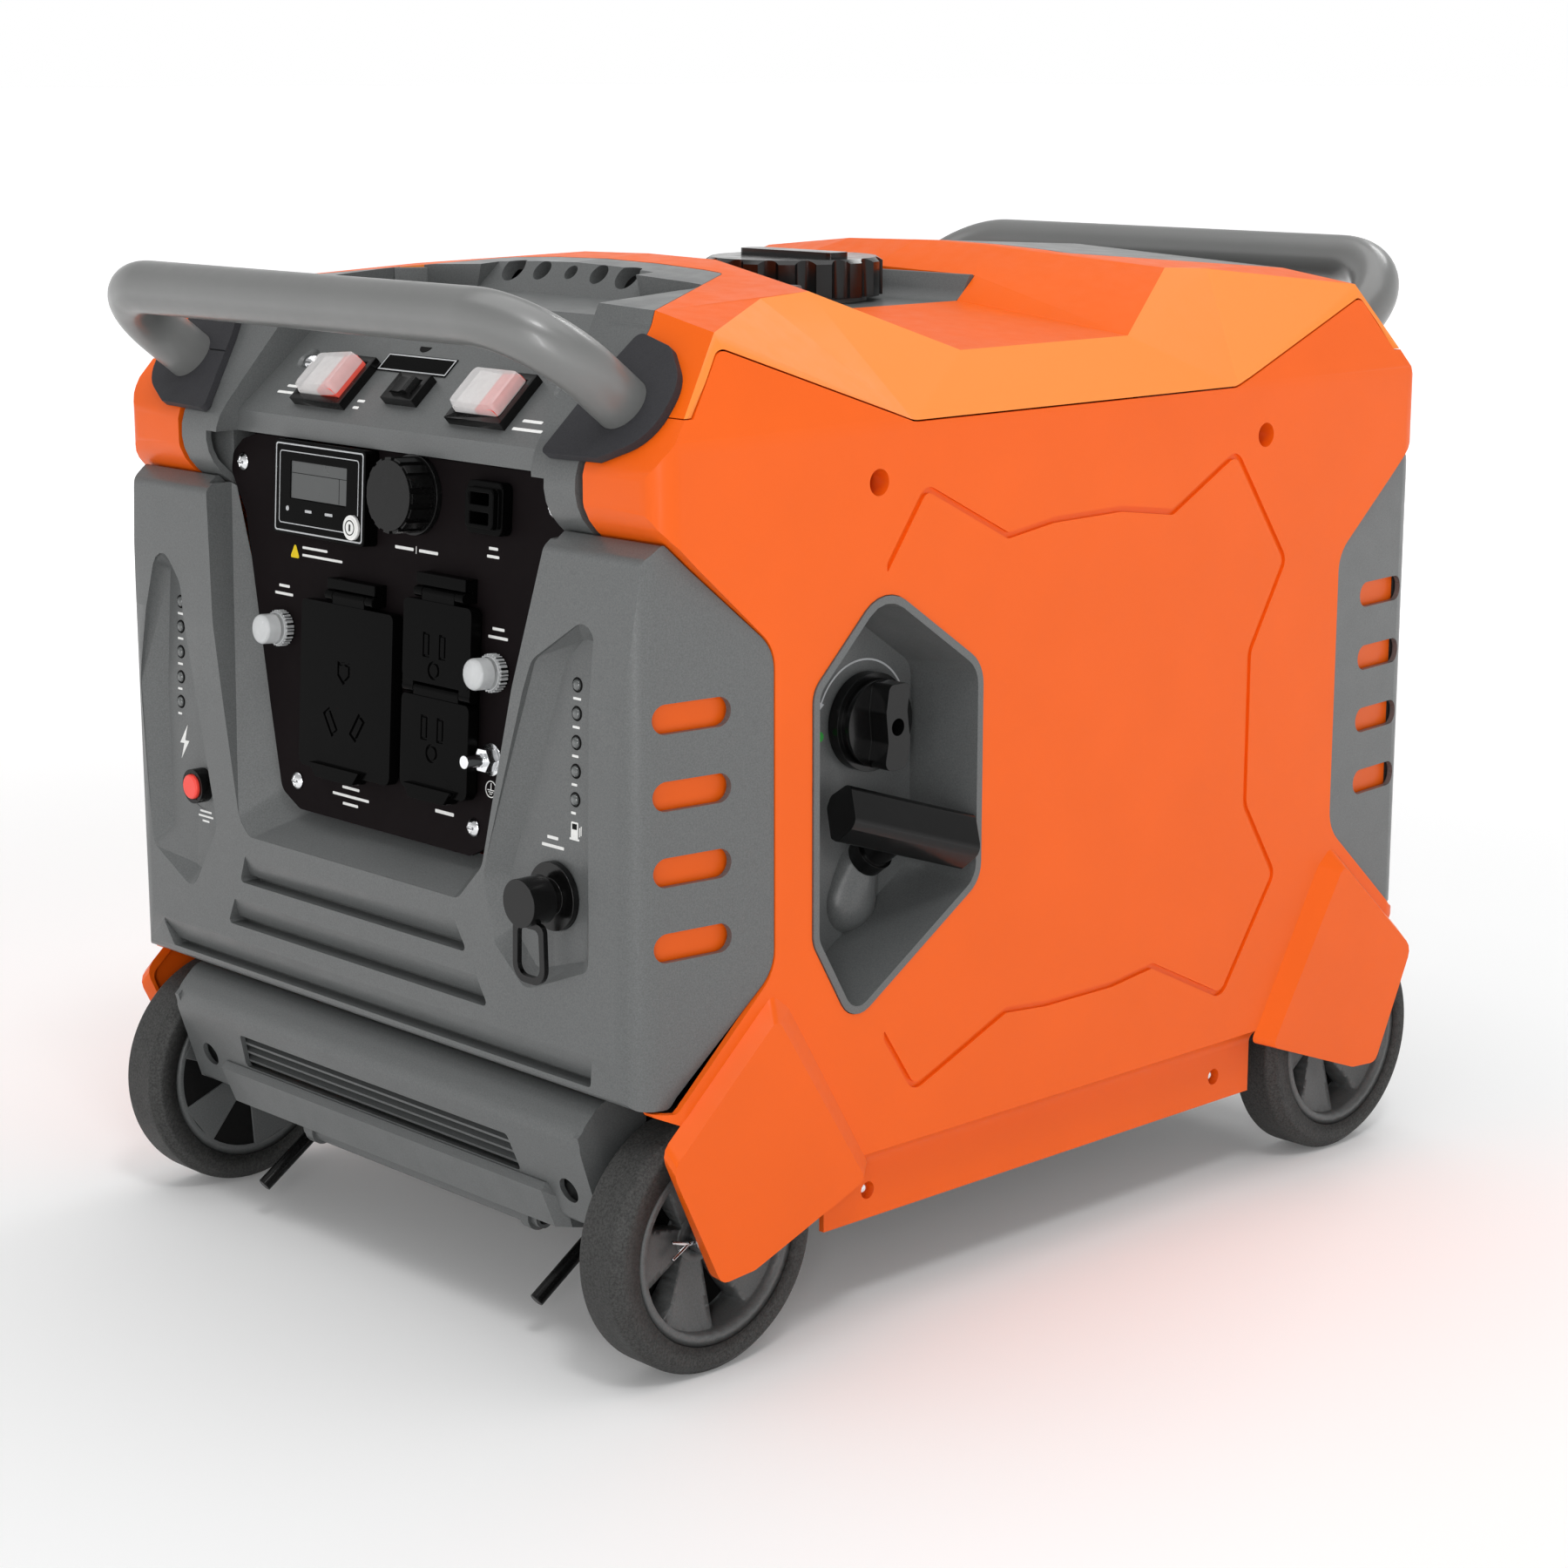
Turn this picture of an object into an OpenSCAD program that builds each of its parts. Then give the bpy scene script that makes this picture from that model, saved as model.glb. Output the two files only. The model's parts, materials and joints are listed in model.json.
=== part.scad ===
// Portable inverter generator on four wheels, in millimetres.
// Origin: on the ground under the middle of the machine. +Z is up, the control
// panel faces -Y and the starter pocket is on the +X side.

/* [Body] */
// Width across the two flat side shells
body_w = 403; // [401:1:405]
// Depth from the front cover's face to the rear cover's face
body_l = 545; // [543:1:548]
// Height of the crown of the top cover
crown_h = 481; // [480:0.5:483]
// Height of the skirt's lower edge above the ground
skirt_h = 46; // [44:1:48]
// Wall thickness of the moulded shells
wall = 3; // [2.6:0.1:3.2]

/* [Wheels] */
// Radius of the tyres
tyre_r = 60; // [58:0.5:60.5]
// Width of the tyres
tyre_w = 28.8; // [26:0.2:29]
// Distance between the front and rear axles
wheel_base = 452; // [450:1:453]
// Width across the outer faces of the tyres
track_w = 388.8; // [386:0.4:389]
// Radius of the axle rods
axle_r = 6; // [5:0.5:6.5]

/* [Handles] */
// Diameter of the handle tubes
tube_d = 25; // [22:0.5:26]
// Reach of each handle from its mounting faces
handle_reach = 60; // [56:1:62]
// Distance between the two legs of each handle
handle_span = 324; // [320:1:326]

/* [Controls] */
// Travel of the reset buttons
button_travel = 2.5; // [1:0.5:3]
// Radius of the fuel selector knob
knob_r = 23; // [20:1:24]
// Radius of the fuel cap
cap_r = 45; // [42:1:46]
// Length of the starter grip's bar
grip_l = 70; // [60:1:71]

/* [Hidden] */
$fn = 48;

orange = "#f4581c";
light_orange = "#f98a45";
mid_gray = "#6b6d6d";
near_black = "#1d1b1c";
steel = "#c4c6c8";

half_w = body_w / 2;
half_l = body_l / 2;
gap = 0.3;

// Arc points that replace the corner p between a and b with a radius r.
function fillet(p, a, b, r, n = 6) =
    let (
        u = (a - p) / norm(a - p),
        v = (b - p) / norm(b - p),
        half = acos(max(-1, min(1, u * v))) / 2,
        c = p + (u + v) / norm(u + v) * r / sin(half),
        s = p + u * r / tan(half) - c,
        e = p + v * r / tan(half) - c,
        a0 = atan2(s[1], s[0]),
        turn = atan2(e[1], e[0]) - a0,
        sweep = turn > 180 ? turn - 360 : (turn < -180 ? turn + 360 : turn)
    )
    [for (i = [0 : n]) c + r * [cos(a0 + sweep * i / n), sin(a0 + sweep * i / n)]];

// Outline of [x, y, radius] corners with the corners rounded.
function rounded(pts, n = 6) =
    let (m = len(pts))
    [
        for (i = [0 : m - 1])
        let (
            p = [pts[i][0], pts[i][1]],
            a = [pts[(i + m - 1) % m][0], pts[(i + m - 1) % m][1]],
            b = [pts[(i + 1) % m][0], pts[(i + 1) % m][1]]
        )
        each (pts[i][2] > 0.05 ? fillet(p, a, b, pts[i][2], n) : [p])
    ];

// Counter-clockwise outline of [x, y, radius] corners moved inward by d.
function inset(pts, d) =
    let (m = len(pts))
    [
        for (i = [0 : m - 1])
        let (
            p = [pts[i][0], pts[i][1]],
            a = [pts[(i + m - 1) % m][0], pts[(i + m - 1) % m][1]],
            b = [pts[(i + 1) % m][0], pts[(i + 1) % m][1]],
            u = (p - a) / norm(p - a),
            v = (b - p) / norm(b - p),
            n1 = [-u[1], u[0]],
            n2 = [-v[1], v[0]],
            q = p + d * (n1 + n2) / (1 + n1 * n2),
            left_turn = u[0] * v[1] - u[1] * v[0] > 0
        )
        [q[0], q[1], pts[i][2] > 0 ? max(0.2, pts[i][2] + (left_turn ? -d : d)) : 0]
    ];

// Outline mirrored across its first axis and joined to itself: pts run from the
// positive side's start to its end, and the copy runs back.
function mirror_x(pts) = concat(pts, [for (i = [len(pts) - 1 : -1 : 0]) [-pts[i][0], pts[i][1], pts[i][2]]]);

// Extrusions of an outline of (y, z), (x, z) or (x, y) points along the other axis.
function flat(pts) = [for (p = pts) [p[0], p[1]]];
module slab_x(x0, x1, pts) {
    translate([x0, 0, 0]) rotate([90, 0, 90]) linear_extrude(x1 - x0) polygon(flat(pts));
}
module slab_y(y0, y1, pts) {
    translate([0, y1, 0]) rotate([90, 0, 0]) linear_extrude(y1 - y0) polygon(flat(pts));
}
module slab_z(z0, z1, pts) {
    translate([0, 0, z0]) linear_extrude(z1 - z0) polygon(flat(pts));
}
module box(a, b) {
    translate(a) cube(b - a);
}
module rod_x(x0, x1, y, z, r) {
    translate([x0, y, z]) rotate([0, 90, 0]) cylinder(h = x1 - x0, r = r);
}
module both_ends() {
    children();
    mirror([0, 1, 0]) children();
}
module both_sides() {
    children();
    mirror([1, 0, 0]) children();
}
module four_corners() {
    both_ends() both_sides() children();
}

// ---------------------------------------------------------------- shared frames

// The inclined faces that carry the handles, at both ends of the body.
slope_a = 38;
slope_y = 249.1;
slope_z = 431.2;
// Distance of the face from the line through the handle's mounting points.
plate_t = 4;
function slope_line(z, d = 0) = slope_y - plate_t / cos(slope_a) - (z - slope_z) * tan(slope_a) - d / cos(slope_a);

module on_slope() {
    translate([0, -slope_y, slope_z]) rotate([90 - slope_a, 0, 0]) children();
}

// The control panel's plane leans back from the vertical.
panel_lean = 3.555;
panel_y = -261.5;
panel_z = 200;
module on_panel() {
    translate([0, panel_y, panel_z]) rotate([90 - panel_lean, 0, 0]) children();
}

// The switch face above the panel.
switch_a = 42;
switch_y = -252;
switch_z = 408;
module on_switches() {
    translate([0, switch_y, switch_z]) rotate([switch_a, 0, 0]) children();
}

// The pull line of the recoil starter, out of the guide's mouth.
pull_a = 37;
guide = [168, -110, 212];
grip_tilt = 22;
module on_pull() {
    translate(guide) rotate([0, 90 - pull_a, 0]) children();
}

wheel_x = track_w / 2 - tyre_w / 2;
wheel_y = wheel_base / 2;

// ---------------------------------------------------------------- side shells

nose_x = 153;
nose_y = 273.6;
nose_z = 393.1;
nose_r = 25;
seam_low_y = 112.5;
seam_low_z = 416.5;
seam_high_y = 219.1;
seam_high_z = 454.4;
seam_end_z = 427;
cover_edge_y = 198;

// Side outline of the body's upper part, above the gray covers.
body_side = [
    [cover_edge_y, 60, 0], [cover_edge_y, 326, 20], [241.7, 364, 12], [nose_y, nose_z, nose_r],
    [slope_line(461) - 0.1, 461, 6], [slope_line(461) - 30, crown_h + 30, 0]
];
body_side_all = concat(
    body_side,
    [for (i = [len(body_side) - 1 : -1 : 0]) [-body_side[i][0], body_side[i][1], body_side[i][2]]]
);

// Front outline: vertical sides that lean in above the seam.
body_front = mirror_x([
    [half_w, 20, 0], [half_w, seam_low_z, 30], [half_w - 10.4, seam_high_z + 2, 0], [half_w - 30, 540, 0]
]);
// Plan outline with rounded vertical corners.
corner_r = 13;
body_plan = mirror_x([[half_w, -263.8, corner_r], [half_w, 263.8, corner_r]]);

module body_envelope(d) {
    intersection() {
        slab_x(-half_w + d, half_w - d, rounded(inset(body_side_all, d)));
        slab_y(-320, 320, rounded(inset(body_front, d)));
        slab_z(20, 540, rounded(inset(body_plan, d)));
    }
}

// Region of the side shell in side view: everything below the seam.
shell_region = [
    [-300, seam_end_z, 0], [-300, 20, 0], [300, 20, 0], [300, seam_end_z, 0],
    [242, seam_end_z, 0], [seam_high_y + 2, seam_high_z, 6], [seam_low_y, seam_low_z, 14],
    [-seam_low_y, seam_low_z, 14], [-seam_high_y - 2, seam_high_z, 6], [-242, seam_end_z, 0]
];

// Lower edge of the side plate, over the wheels and along the skirt.
arch = [
    [262.2, 127.2, 0], [244, 119, 6], [196, 128, 12], [171, 92, 8], [154.5, 84, 0]
];
// Side plate below the noses, front and rear.
band = [[cover_edge_y, 182, 22], [252.2, 132.8, 4], [255.6, 128.9, 2], [263.5, 128.9, 0]];
plate_low = concat(
    [[-cover_edge_y, 330, 0]],
    [for (p = band) [-p[0], p[1], p[2]]],
    [for (p = arch) [-p[0], p[1], p[2]]],
    [for (i = [len(arch) - 1 : -1 : 0]) arch[i]],
    [for (i = [len(band) - 1 : -1 : 0]) band[i]],
    [[cover_edge_y, 330, 0]]
);

skirt_in = 14;
skirt_y = 154.5;
skirt_profile = [
    [half_w, 104, 0], [half_w, 90, 10], [half_w - skirt_in, 75, 8], [half_w - skirt_in, skirt_h, 0]
];
skirt_section = concat(
    skirt_profile,
    [[half_w - skirt_in - wall, skirt_h, 0], [half_w - skirt_in - wall, 77, 8], [half_w - wall, 91.5, 10], [half_w - wall, 104, 0]]
);

fin_out = 7;
fin_face = [
    [-203, 163, 4], [-265.4, 107, 8], [-237, 48.5, 6], [-217, 50, 12], [-148, 75.5, 3]
];
fin_base = [
    [-190, 164, 4], [-200, 172, 4], [-265.4, 113.5, 8], [-236, 48.5, 6], [-217, 50, 12], [-139, 78.5, 3]
];
module fin_solid(d) {
    hull() {
        slab_x(half_w + fin_out - d - 0.2, half_w + fin_out - d, rounded(inset(fin_face, d), 3));
        slab_x(half_w - 0.4 - d, half_w - 0.2 - d, rounded(inset(fin_base, d), 3));
    }
}
module fin() {
    difference() {
        fin_solid(0);
        fin_solid(wall);
        box([half_w - 6, -290, 20], [half_w - 0.5, -130, 180]);
    }
}

// Liner that shows orange behind the slots of the gray covers.
liner_plan = [
    [half_w - wall, -192, 0], [half_w - wall, -196.5, 0], [half_w - 5.4, -200, 0], [half_w - 11.8, -260, 0],
    [half_w - 17, -267, 0], [half_w - 20, -265, 0], [half_w - 14.5, -258, 0], [half_w - 8, -199, 0], [half_w - 6, -192, 0]
];

screw_high = [135.2, 391.8];
screw_low = [126.1, 59.6];

groove_w = 2.8;
groove_d = 1.6;
// Outline of the raised field on the side plate, clockwise from its top.
field_closed = [
    [28, 366.5, 30], [65, 361.5, 2], [113, 387, 8], [155, 328, 8], [128.6, 284, 10],
    [128.6, 206, 10], [154, 166, 8], [113, 107, 8], [58, 133.6, 2], [28, 130, 30],
    [-20, 130, 30], [-48, 132.4, 2], [-111, 107, 8], [-150, 166, 8], [-128.6, 206, 10],
    [-128.6, 284, 10], [-150, 328, 8], [-106, 389, 7], [-51, 361.5, 2], [-20, 365.8, 30]
];
function reversed(p) = [for (i = [len(p) - 1 : -1 : 0]) p[i]];
field_line = rounded(field_closed, 4);
module shell_plate() {
    difference() {
        intersection() {
            body_envelope(0);
            slab_x(nose_x - 3, half_w + 1, rounded(shell_region));
        }
        body_envelope(wall);
        // open below: the plate's own lower outline is drawn apart
        box([0, -320, 0], [half_w - wall - 0.01, 320, 330]);
        box([0, -320, 0], [half_w + 5, 320, 250]);
        slab_x(0, nose_x, [[-320, 0], [320, 0], [320, 600], [-320, 600]]);
    }
    intersection() {
        slab_x(half_w - wall, half_w, rounded(plate_low));
        slab_z(60, 260, rounded(body_plan));
    }
    slab_x(half_w - wall, half_w, [[-cover_edge_y, 240], [cover_edge_y, 240], [cover_edge_y, 300], [-cover_edge_y, 300]]);
    slab_y(-skirt_y, skirt_y, rounded(skirt_section));
    both_ends() {
        fin();
        slab_z(190, 316, liner_plan);
        wrap_band();
    }
}

// The strip below each gray cover turns round the corner above the wheel.
module wrap_band() {
    difference() {
        intersection() {
            slab_x(half_w - 14, half_w, [[-263.6, 128.8], [-262.4, 127.2], [-244, 119.4], [-236, 119.6], [-240, 142], [-251.6, 133.4], [-255.4, 128.9]]);
            slab_z(100, 150, rounded(body_plan));
        }
        slab_z(90, 160, rounded(inset(body_plan, wall)));
    }
}

module side_screw_cups() {
    for (e = [-1, 1]) {
        rod_x(half_w - 14, half_w, e * screw_high[0], screw_high[1], 8.2);
        rod_x(half_w - skirt_in - 6, half_w - skirt_in, e * screw_low[0], screw_low[1], 6.4);
    }
}
module side_screw_holes() {
    for (e = [-1, 1]) {
        rod_x(half_w - 12, half_w + 1, e * screw_high[0], screw_high[1], 6);
        rod_x(half_w - 15, half_w, e * screw_high[0], screw_high[1], 2.6);
        rod_x(half_w - skirt_in - 4, half_w + 1, e * screw_low[0], screw_low[1], 4.2);
        rod_x(half_w - skirt_in - 9, half_w, e * screw_low[0], screw_low[1], 2.1);
    }
}

pocket_outline = [
    [-132, 347, 20], [-175.5, 304, 14], [-175.5, 190, 14], [-151, 147.5, 12], [-67.6, 201, 16], [-67.6, 303, 18]
];

// Groove round the raised field, open towards the starter pocket.
module field_groove() {
    intersection() {
        difference() {
            slab_x(half_w - groove_d, half_w + 1, field_line);
            slab_x(half_w - groove_d - 1, half_w + 2, rounded(inset(reversed(field_closed), groove_w), 4));
        }
        union() {
            box([half_w - 4, -104, 90], [half_w + 2, 200, 400]);
            box([half_w - 4, -130, 352], [half_w + 2, -100, 400]);
            box([half_w - 4, -130, 90], [half_w + 2, -100, 140]);
        }
    }
}

module right_side_shell() color(orange) {
    difference() {
        union() {
            shell_plate();
            side_screw_cups();
        }
        side_screw_holes();
        field_groove();
        slab_x(half_w - 12, half_w + 1, rounded(inset(pocket_outline, -gap)));
    }
}

module left_side_shell() color(orange) mirror([1, 0, 0]) {
    difference() {
        union() {
            shell_plate();
            side_screw_cups();
            // ledge behind the door
            difference() {
                slab_x(half_w - wall - 2, half_w - wall, rounded(inset(reversed(field_closed), -6), 4));
                slab_x(half_w - wall - 3, half_w, rounded(inset(reversed(field_closed), 6), 4));
            }
        }
        side_screw_holes();
        slab_x(half_w - wall, half_w + 1, field_line);
    }
}

// Screwed door on the side away from the starter.
module service_door() color(orange) mirror([1, 0, 0]) {
    difference() {
        slab_x(half_w - wall, half_w, rounded(inset(reversed(field_closed), 0.8), 4));
        for (e = [-1, 1]) rod_x(half_w - 2, half_w + 1, e * 105, 247, 4.2);
    }
}

// ---------------------------------------------------------------- top cover

crown_x = 48;
crown_y = 92;
// Corners of one quarter of the cover's upper surface.
quarter = [
    [half_w, -1, seam_low_z],                       // 0 middle of the seam
    [half_w, seam_low_y, seam_low_z],               // 1 low end of the seam
    [half_w - 9.9, seam_high_y, seam_high_z],       // 2 high end of the seam
    [188.2, slope_line(461) - 0.1, 461],            // 3 outer corner of the ridge
    [145.5, 154.1, 469.7],                          // 4 outer ridge point
    [143.9, 123.3, 471.4],                          // 5 inner ridge point
    [176.4, 58.2, 443.4],                           // 6 corner of the hollow
    [176.4, -1, 443.4],                             // 7 middle of the hollow's rim
    [crown_x, crown_y, crown_h - 1],                // 8 crest beside the filler
    [-1, crown_y, crown_h],                         // 9 crest
    [146, slope_line(467.5) - 0.1, 467.5],          // 10 top of the slope beside the console
    [-1, 220.6, 474],                               // 11 top of the slope in the middle
    [72, 49, 455],                                  // 12 corner of the filler tray
    [72, -1, 455],                                  // 13 edge of the filler tray
    [72, 62, 467],                                  // 14 top of the tray's end wall
    [-1, 62, 469],                                  // 15 same, in the middle
    [-1, -1, 455],                                  // 16 centre
    [-1, 49, 455],                                  // 17
    [half_w - 0.95, slope_line(420), 420],          // 18 foot of the slope, outside
    [-1, slope_line(420), 420]                      // 19 foot of the slope, middle
];
quarter_tris = [
    [0, 1, 6], [0, 6, 7], [1, 5, 6], [1, 4, 5], [1, 3, 4], [1, 2, 3],
    [3, 10, 4], [4, 10, 5], [5, 10, 8], [10, 11, 8], [11, 9, 8],
    [6, 5, 8], [6, 8, 14], [6, 14, 12], [7, 6, 12], [7, 12, 13],
    [8, 9, 15], [8, 15, 14], [12, 14, 15], [12, 15, 17], [13, 12, 17], [13, 17, 16],
    [2, 18, 3], [3, 18, 10], [10, 18, 19], [10, 19, 11]
];
quarter_rim = [16, 13, 7, 0, 1, 2, 18, 19, 11, 9, 15, 17];

// Solid between the upper surface, moved down by drop, and a flat floor.
module quarter_solid(drop, floor_z) {
    n = len(quarter);
    top = [for (p = quarter) p - [0, 0, drop]];
    bottom = [for (p = quarter) [p[0], p[1], floor_z]];
    m = len(quarter_rim);
    polyhedron(
        points = concat(top, bottom),
        faces = concat(
            [for (t = quarter_tris) [t[2], t[1], t[0]]],
            [for (t = quarter_tris) [t[0] + n, t[1] + n, t[2] + n]],
            [
                for (i = [0 : m - 1])
                let (a = quarter_rim[i], b = quarter_rim[(i + 1) % m])
                [a, b, b + n]
            ],
            [
                for (i = [0 : m - 1])
                let (a = quarter_rim[i], b = quarter_rim[(i + 1) % m])
                [a, b + n, a + n]
            ]
        )
    );
}
module top_solid(drop, floor_z) {
    four_corners() quarter_solid(drop, floor_z);
}

// Plan of each console where it passes through the top cover.
console_plan = mirror_x([[nose_x - 3, -330, 0], [148, -slope_line(461), 6], [82, -118, 10]]);

top_region = [
    [-seam_low_y, seam_low_z + 0.8, 14], [seam_low_y, seam_low_z + 0.8, 14], [seam_high_y + 2, seam_high_z + 0.8, 6],
    [242.4, seam_end_z + 0.5, 0], [300, seam_end_z + 0.5, 0], [300, 560, 0], [-300, 560, 0], [-300, seam_end_z + 0.5, 0],
    [-242.4, seam_end_z + 0.5, 0], [-seam_high_y - 2, seam_high_z + 0.8, 6]
];

module top_cover() color(light_orange) {
    difference() {
        intersection() {
            top_solid(0, 400);
            slab_x(-half_w - 5, half_w + 5, rounded(top_region));
        }
        top_solid(4.5, 390);
        both_ends() slab_z(380, 520, rounded(inset(console_plan, -gap)));
        box([-72, -62, 400], [72, 62, 500]);
    }
}

// ---------------------------------------------------------------- gray covers

cover_base_z = 129.5;
cover_side = [
    [-cover_edge_y - gap, 325.6, 20], [-242.3, 363.4, 12], [-256, 375.8, 2],
    [-265.5, 369, 5], [-271.8, 306, 60], [-half_l, 250, 60], [-half_l, 150, 20], [-271.2, cover_base_z + 1, 5],
    [-255, cover_base_z, 5], [-251, 134.5, 2], [-cover_edge_y - gap, 182.5, 22]
];
cover_plan = [
    [-half_w + 0.6, -150, 0], [-half_w + 0.6, -cover_edge_y, 0], [-half_w + 8.5, -half_l, 15],
    [half_w - 8.5, -half_l, 15], [half_w - 0.6, -cover_edge_y, 0], [half_w - 0.6, -150, 0]
];
cover_front = mirror_x([[half_w, cover_base_z - 1, 12], [half_w, 340, 40], [192, 395, 0]]);

module cover_envelope(d) {
    intersection() {
        slab_x(-half_w, half_w, rounded(inset(cover_side, d)));
        slab_z(100, 420, rounded(inset(cover_plan, d)));
        slab_y(-300, -140, rounded(inset(cover_front, d)));
    }
}

vent_z = [301.5, 268.2, 235, 201.8];
vent_r = 6.5;
vent_end = -255.5;
module vent_slots() {
    both_sides() for (z = vent_z) {
        box([170, vent_end, z - vent_r], [half_w + 2, -221.2 - vent_r, z + vent_r]);
        rod_x(170, half_w + 2, -221.2 - vent_r, z, vent_r);
        rod_x(170, half_w + 2, vent_end, z, vent_r);
    }
}

module cover_shell() {
    difference() {
        cover_envelope(0);
        cover_envelope(wall);
        // open towards the inside of the machine
        intersection() {
            slab_z(100, 420, rounded(inset(cover_plan, wall)));
            box([-half_w, -252, 100], [half_w, -140, 420]);
        }
        vent_slots();
    }
}

// Opening for the control panel, wide at the cover's face.
panel_hole_front = [
    [-92, 204, 8], [72, 204, 8], [90, 222, 12], [129, 366, 6], [134, 400, 0], [-134, 400, 0], [-129, 366, 6], [-100, 212, 12]
];
panel_hole_back = [
    [-66, 219, 8], [66, 219, 8], [81, 228, 10], [117.5, 360, 6], [129, 384, 0], [129, 400, 0],
    [-129, 400, 0], [-129, 384, 0], [-117.5, 360, 6], [-81, 228, 10]
];
module panel_frustum(d) {
    hull() {
        slab_y(-280 - d, -half_l - d + 0.2, rounded(inset(panel_hole_front, -d), 4));
        slab_y(-254, -250, rounded(inset(panel_hole_back, -d), 4));
    }
}

// The trays' floors recede with the cover's face.
tray_y = -265;
tray_lean = 2.4;
module on_tray(x, z) {
    translate([x, tray_y, z]) rotate([90, 0, 0]) children();
}
left_tray = [[-169, 343, 8], [-184, 268, 12], [-177, 186, 6], [-142.6, 168, 8], [-119, 204, 12], [-147, 322, 16]];
left_floor = [[-170, 335, 5], [-173, 268, 10], [-168, 198, 5], [-143, 176, 5], [-124, 206, 8], [-152, 318, 10]];
right_tray = [[159, 342, 8], [125, 320, 10], [90.5, 218, 12], [98, 188, 8], [119.2, 171, 8], [163, 188, 6], [165, 334, 5]];
right_floor = [[154, 336, 5], [137, 320, 8], [101, 219, 10], [104, 196, 6], [121, 180, 6], [154, 190, 4], [155, 330, 4]];
module led_tray(outline, floor_line, d) {
    hull() {
        slab_y(-half_l - 3, -half_l - 0.2, rounded(inset(outline, -d), 4));
        translate([0, -half_l, 250]) rotate([-3.4, 0, 0]) slab_y(-0.2, 0.2, [for (p = rounded(inset(outline, -d), 4)) p - [0, 250]]);
        translate([0, tray_y, 215]) rotate([-tray_lean, 0, 0]) slab_y(d - 0.2, d, [for (p = rounded(inset(floor_line, -d), 4)) p - [0, 215]]);
    }
}

// Three long ramps below the panel: flush at the top, deepest at the bottom.
ramp_depth = 5.5;
ramps = [
    [194, 180, [-101, -96, 69, 78]],
    [171, 157.3, [-112.5, -106, 84, 92.6]],
    [149.5, 135.5, [-163.5, -172, 164.5, 162]]
];
ramp_y = -half_l + ramp_depth;
module ramp(r) {
    intersection() {
        slab_x(-200, 200, [[-half_l - 4, r[0]], [-half_l - 4, r[1]], [ramp_y + 4, r[1]], [ramp_y + 4, r[1] + 2], [ramp_y, r[1] + 2.6], [-half_l + 0.3, r[0] - 1], [-half_l - 0.2, r[0]]]);
        slab_y(-290, -250, rounded([[r[2][0], r[1], 2], [r[2][3], r[1], 2], [r[2][2], r[0], 2], [r[2][1], r[0], 2]], 3));
    }
}

lp_at = [133, 215.5];
reset_at = [-141.5, 221];

module front_cover() color(mid_gray) {
    difference() {
        union() {
            cover_shell();
            intersection() {
                cover_envelope(0);
                union() {
                    panel_frustum(wall);
                    led_tray(left_tray, left_floor, wall);
                    led_tray(right_tray, right_floor, wall);
                    for (r = ramps) box([min(r[2]) - 4, -half_l, r[1] - 3], [max(r[2]) + 4, ramp_y + 6, r[0] + 2]);
                }
            }
        }
        panel_frustum(0);
        led_tray(left_tray, left_floor, 0);
        led_tray(right_tray, right_floor, 0);
        for (r = ramps) ramp(r);
        translate([lp_at[0], -240, lp_at[1]]) rotate([90, 0, 0]) cylinder(h = 60, r = 10.2);
        on_tray(lp_at[0], lp_at[1]) cylinder(h = 20, r = 15.8);
        on_tray(reset_at[0], reset_at[1]) cylinder(h = 20, r = 12.3);
        translate([reset_at[0], -240, reset_at[1]]) rotate([90, 0, 0]) cylinder(h = 60, r = 8.4);
        // clear of the panel and of what stands on it
        intersection() {
            slab_y(-262, -200, rounded(panel_hole_back, 4));
            on_panel() box([-140, 18, -60], [140, 240, 1]);
        }
        box([-132, -262, 372], [132, -190, 420]);
    }
}

exhaust_at = [-95, 150];
exhaust_r = 15;
module rear_cover() color(mid_gray) mirror([0, 1, 0]) {
    difference() {
        cover_shell();
        for (z = [220 : 16 : 348]) box([-110, -290, z], [110, -230, z + 7]);
        translate([exhaust_at[0], -230, exhaust_at[1]]) rotate([90, 0, 0]) cylinder(h = 60, r = 24);
        for (x = [-40 : 14 : 120]) box([x, -290, 150], [x + 6, -230, 196]);
    }
}

// ---------------------------------------------------------------- consoles

console_side = [
    [-60, 560, 0], [-crown_y - 20, 560, 0], [-slope_line(461), 474, 0], [-slope_line(461.5) + 0.1, 461.5, 6],
    [-nose_y, nose_z, nose_r], [-242.3, 364.2, 0], [-60, 340, 0]
];
lip_z = 400;

module console_solid(drop) {
    intersection() {
        union() {
            top_solid(drop, 340);
            intersection() {
                slab_x(-nose_x - 5, nose_x + 5, rounded(inset(console_side, drop * 0.66)));
                box([-180, -290, 340], [180, -slope_line(461) + 2, 461.5 - drop * 0.7]);
            }
        }
        slab_z(330, 520, rounded(inset(console_plan, drop > 0 ? wall : 0)));
        box([-180, -300, 363 + drop], [180, -119, 500]);
        // nothing stands in front of the nose's underside
        slab_x(-180, 180, [[-60, 330], [-60, 560], [-330, 560], [-330, 445.2 + drop], [-242.3, 364.2 + drop]]);
    }
}

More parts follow.
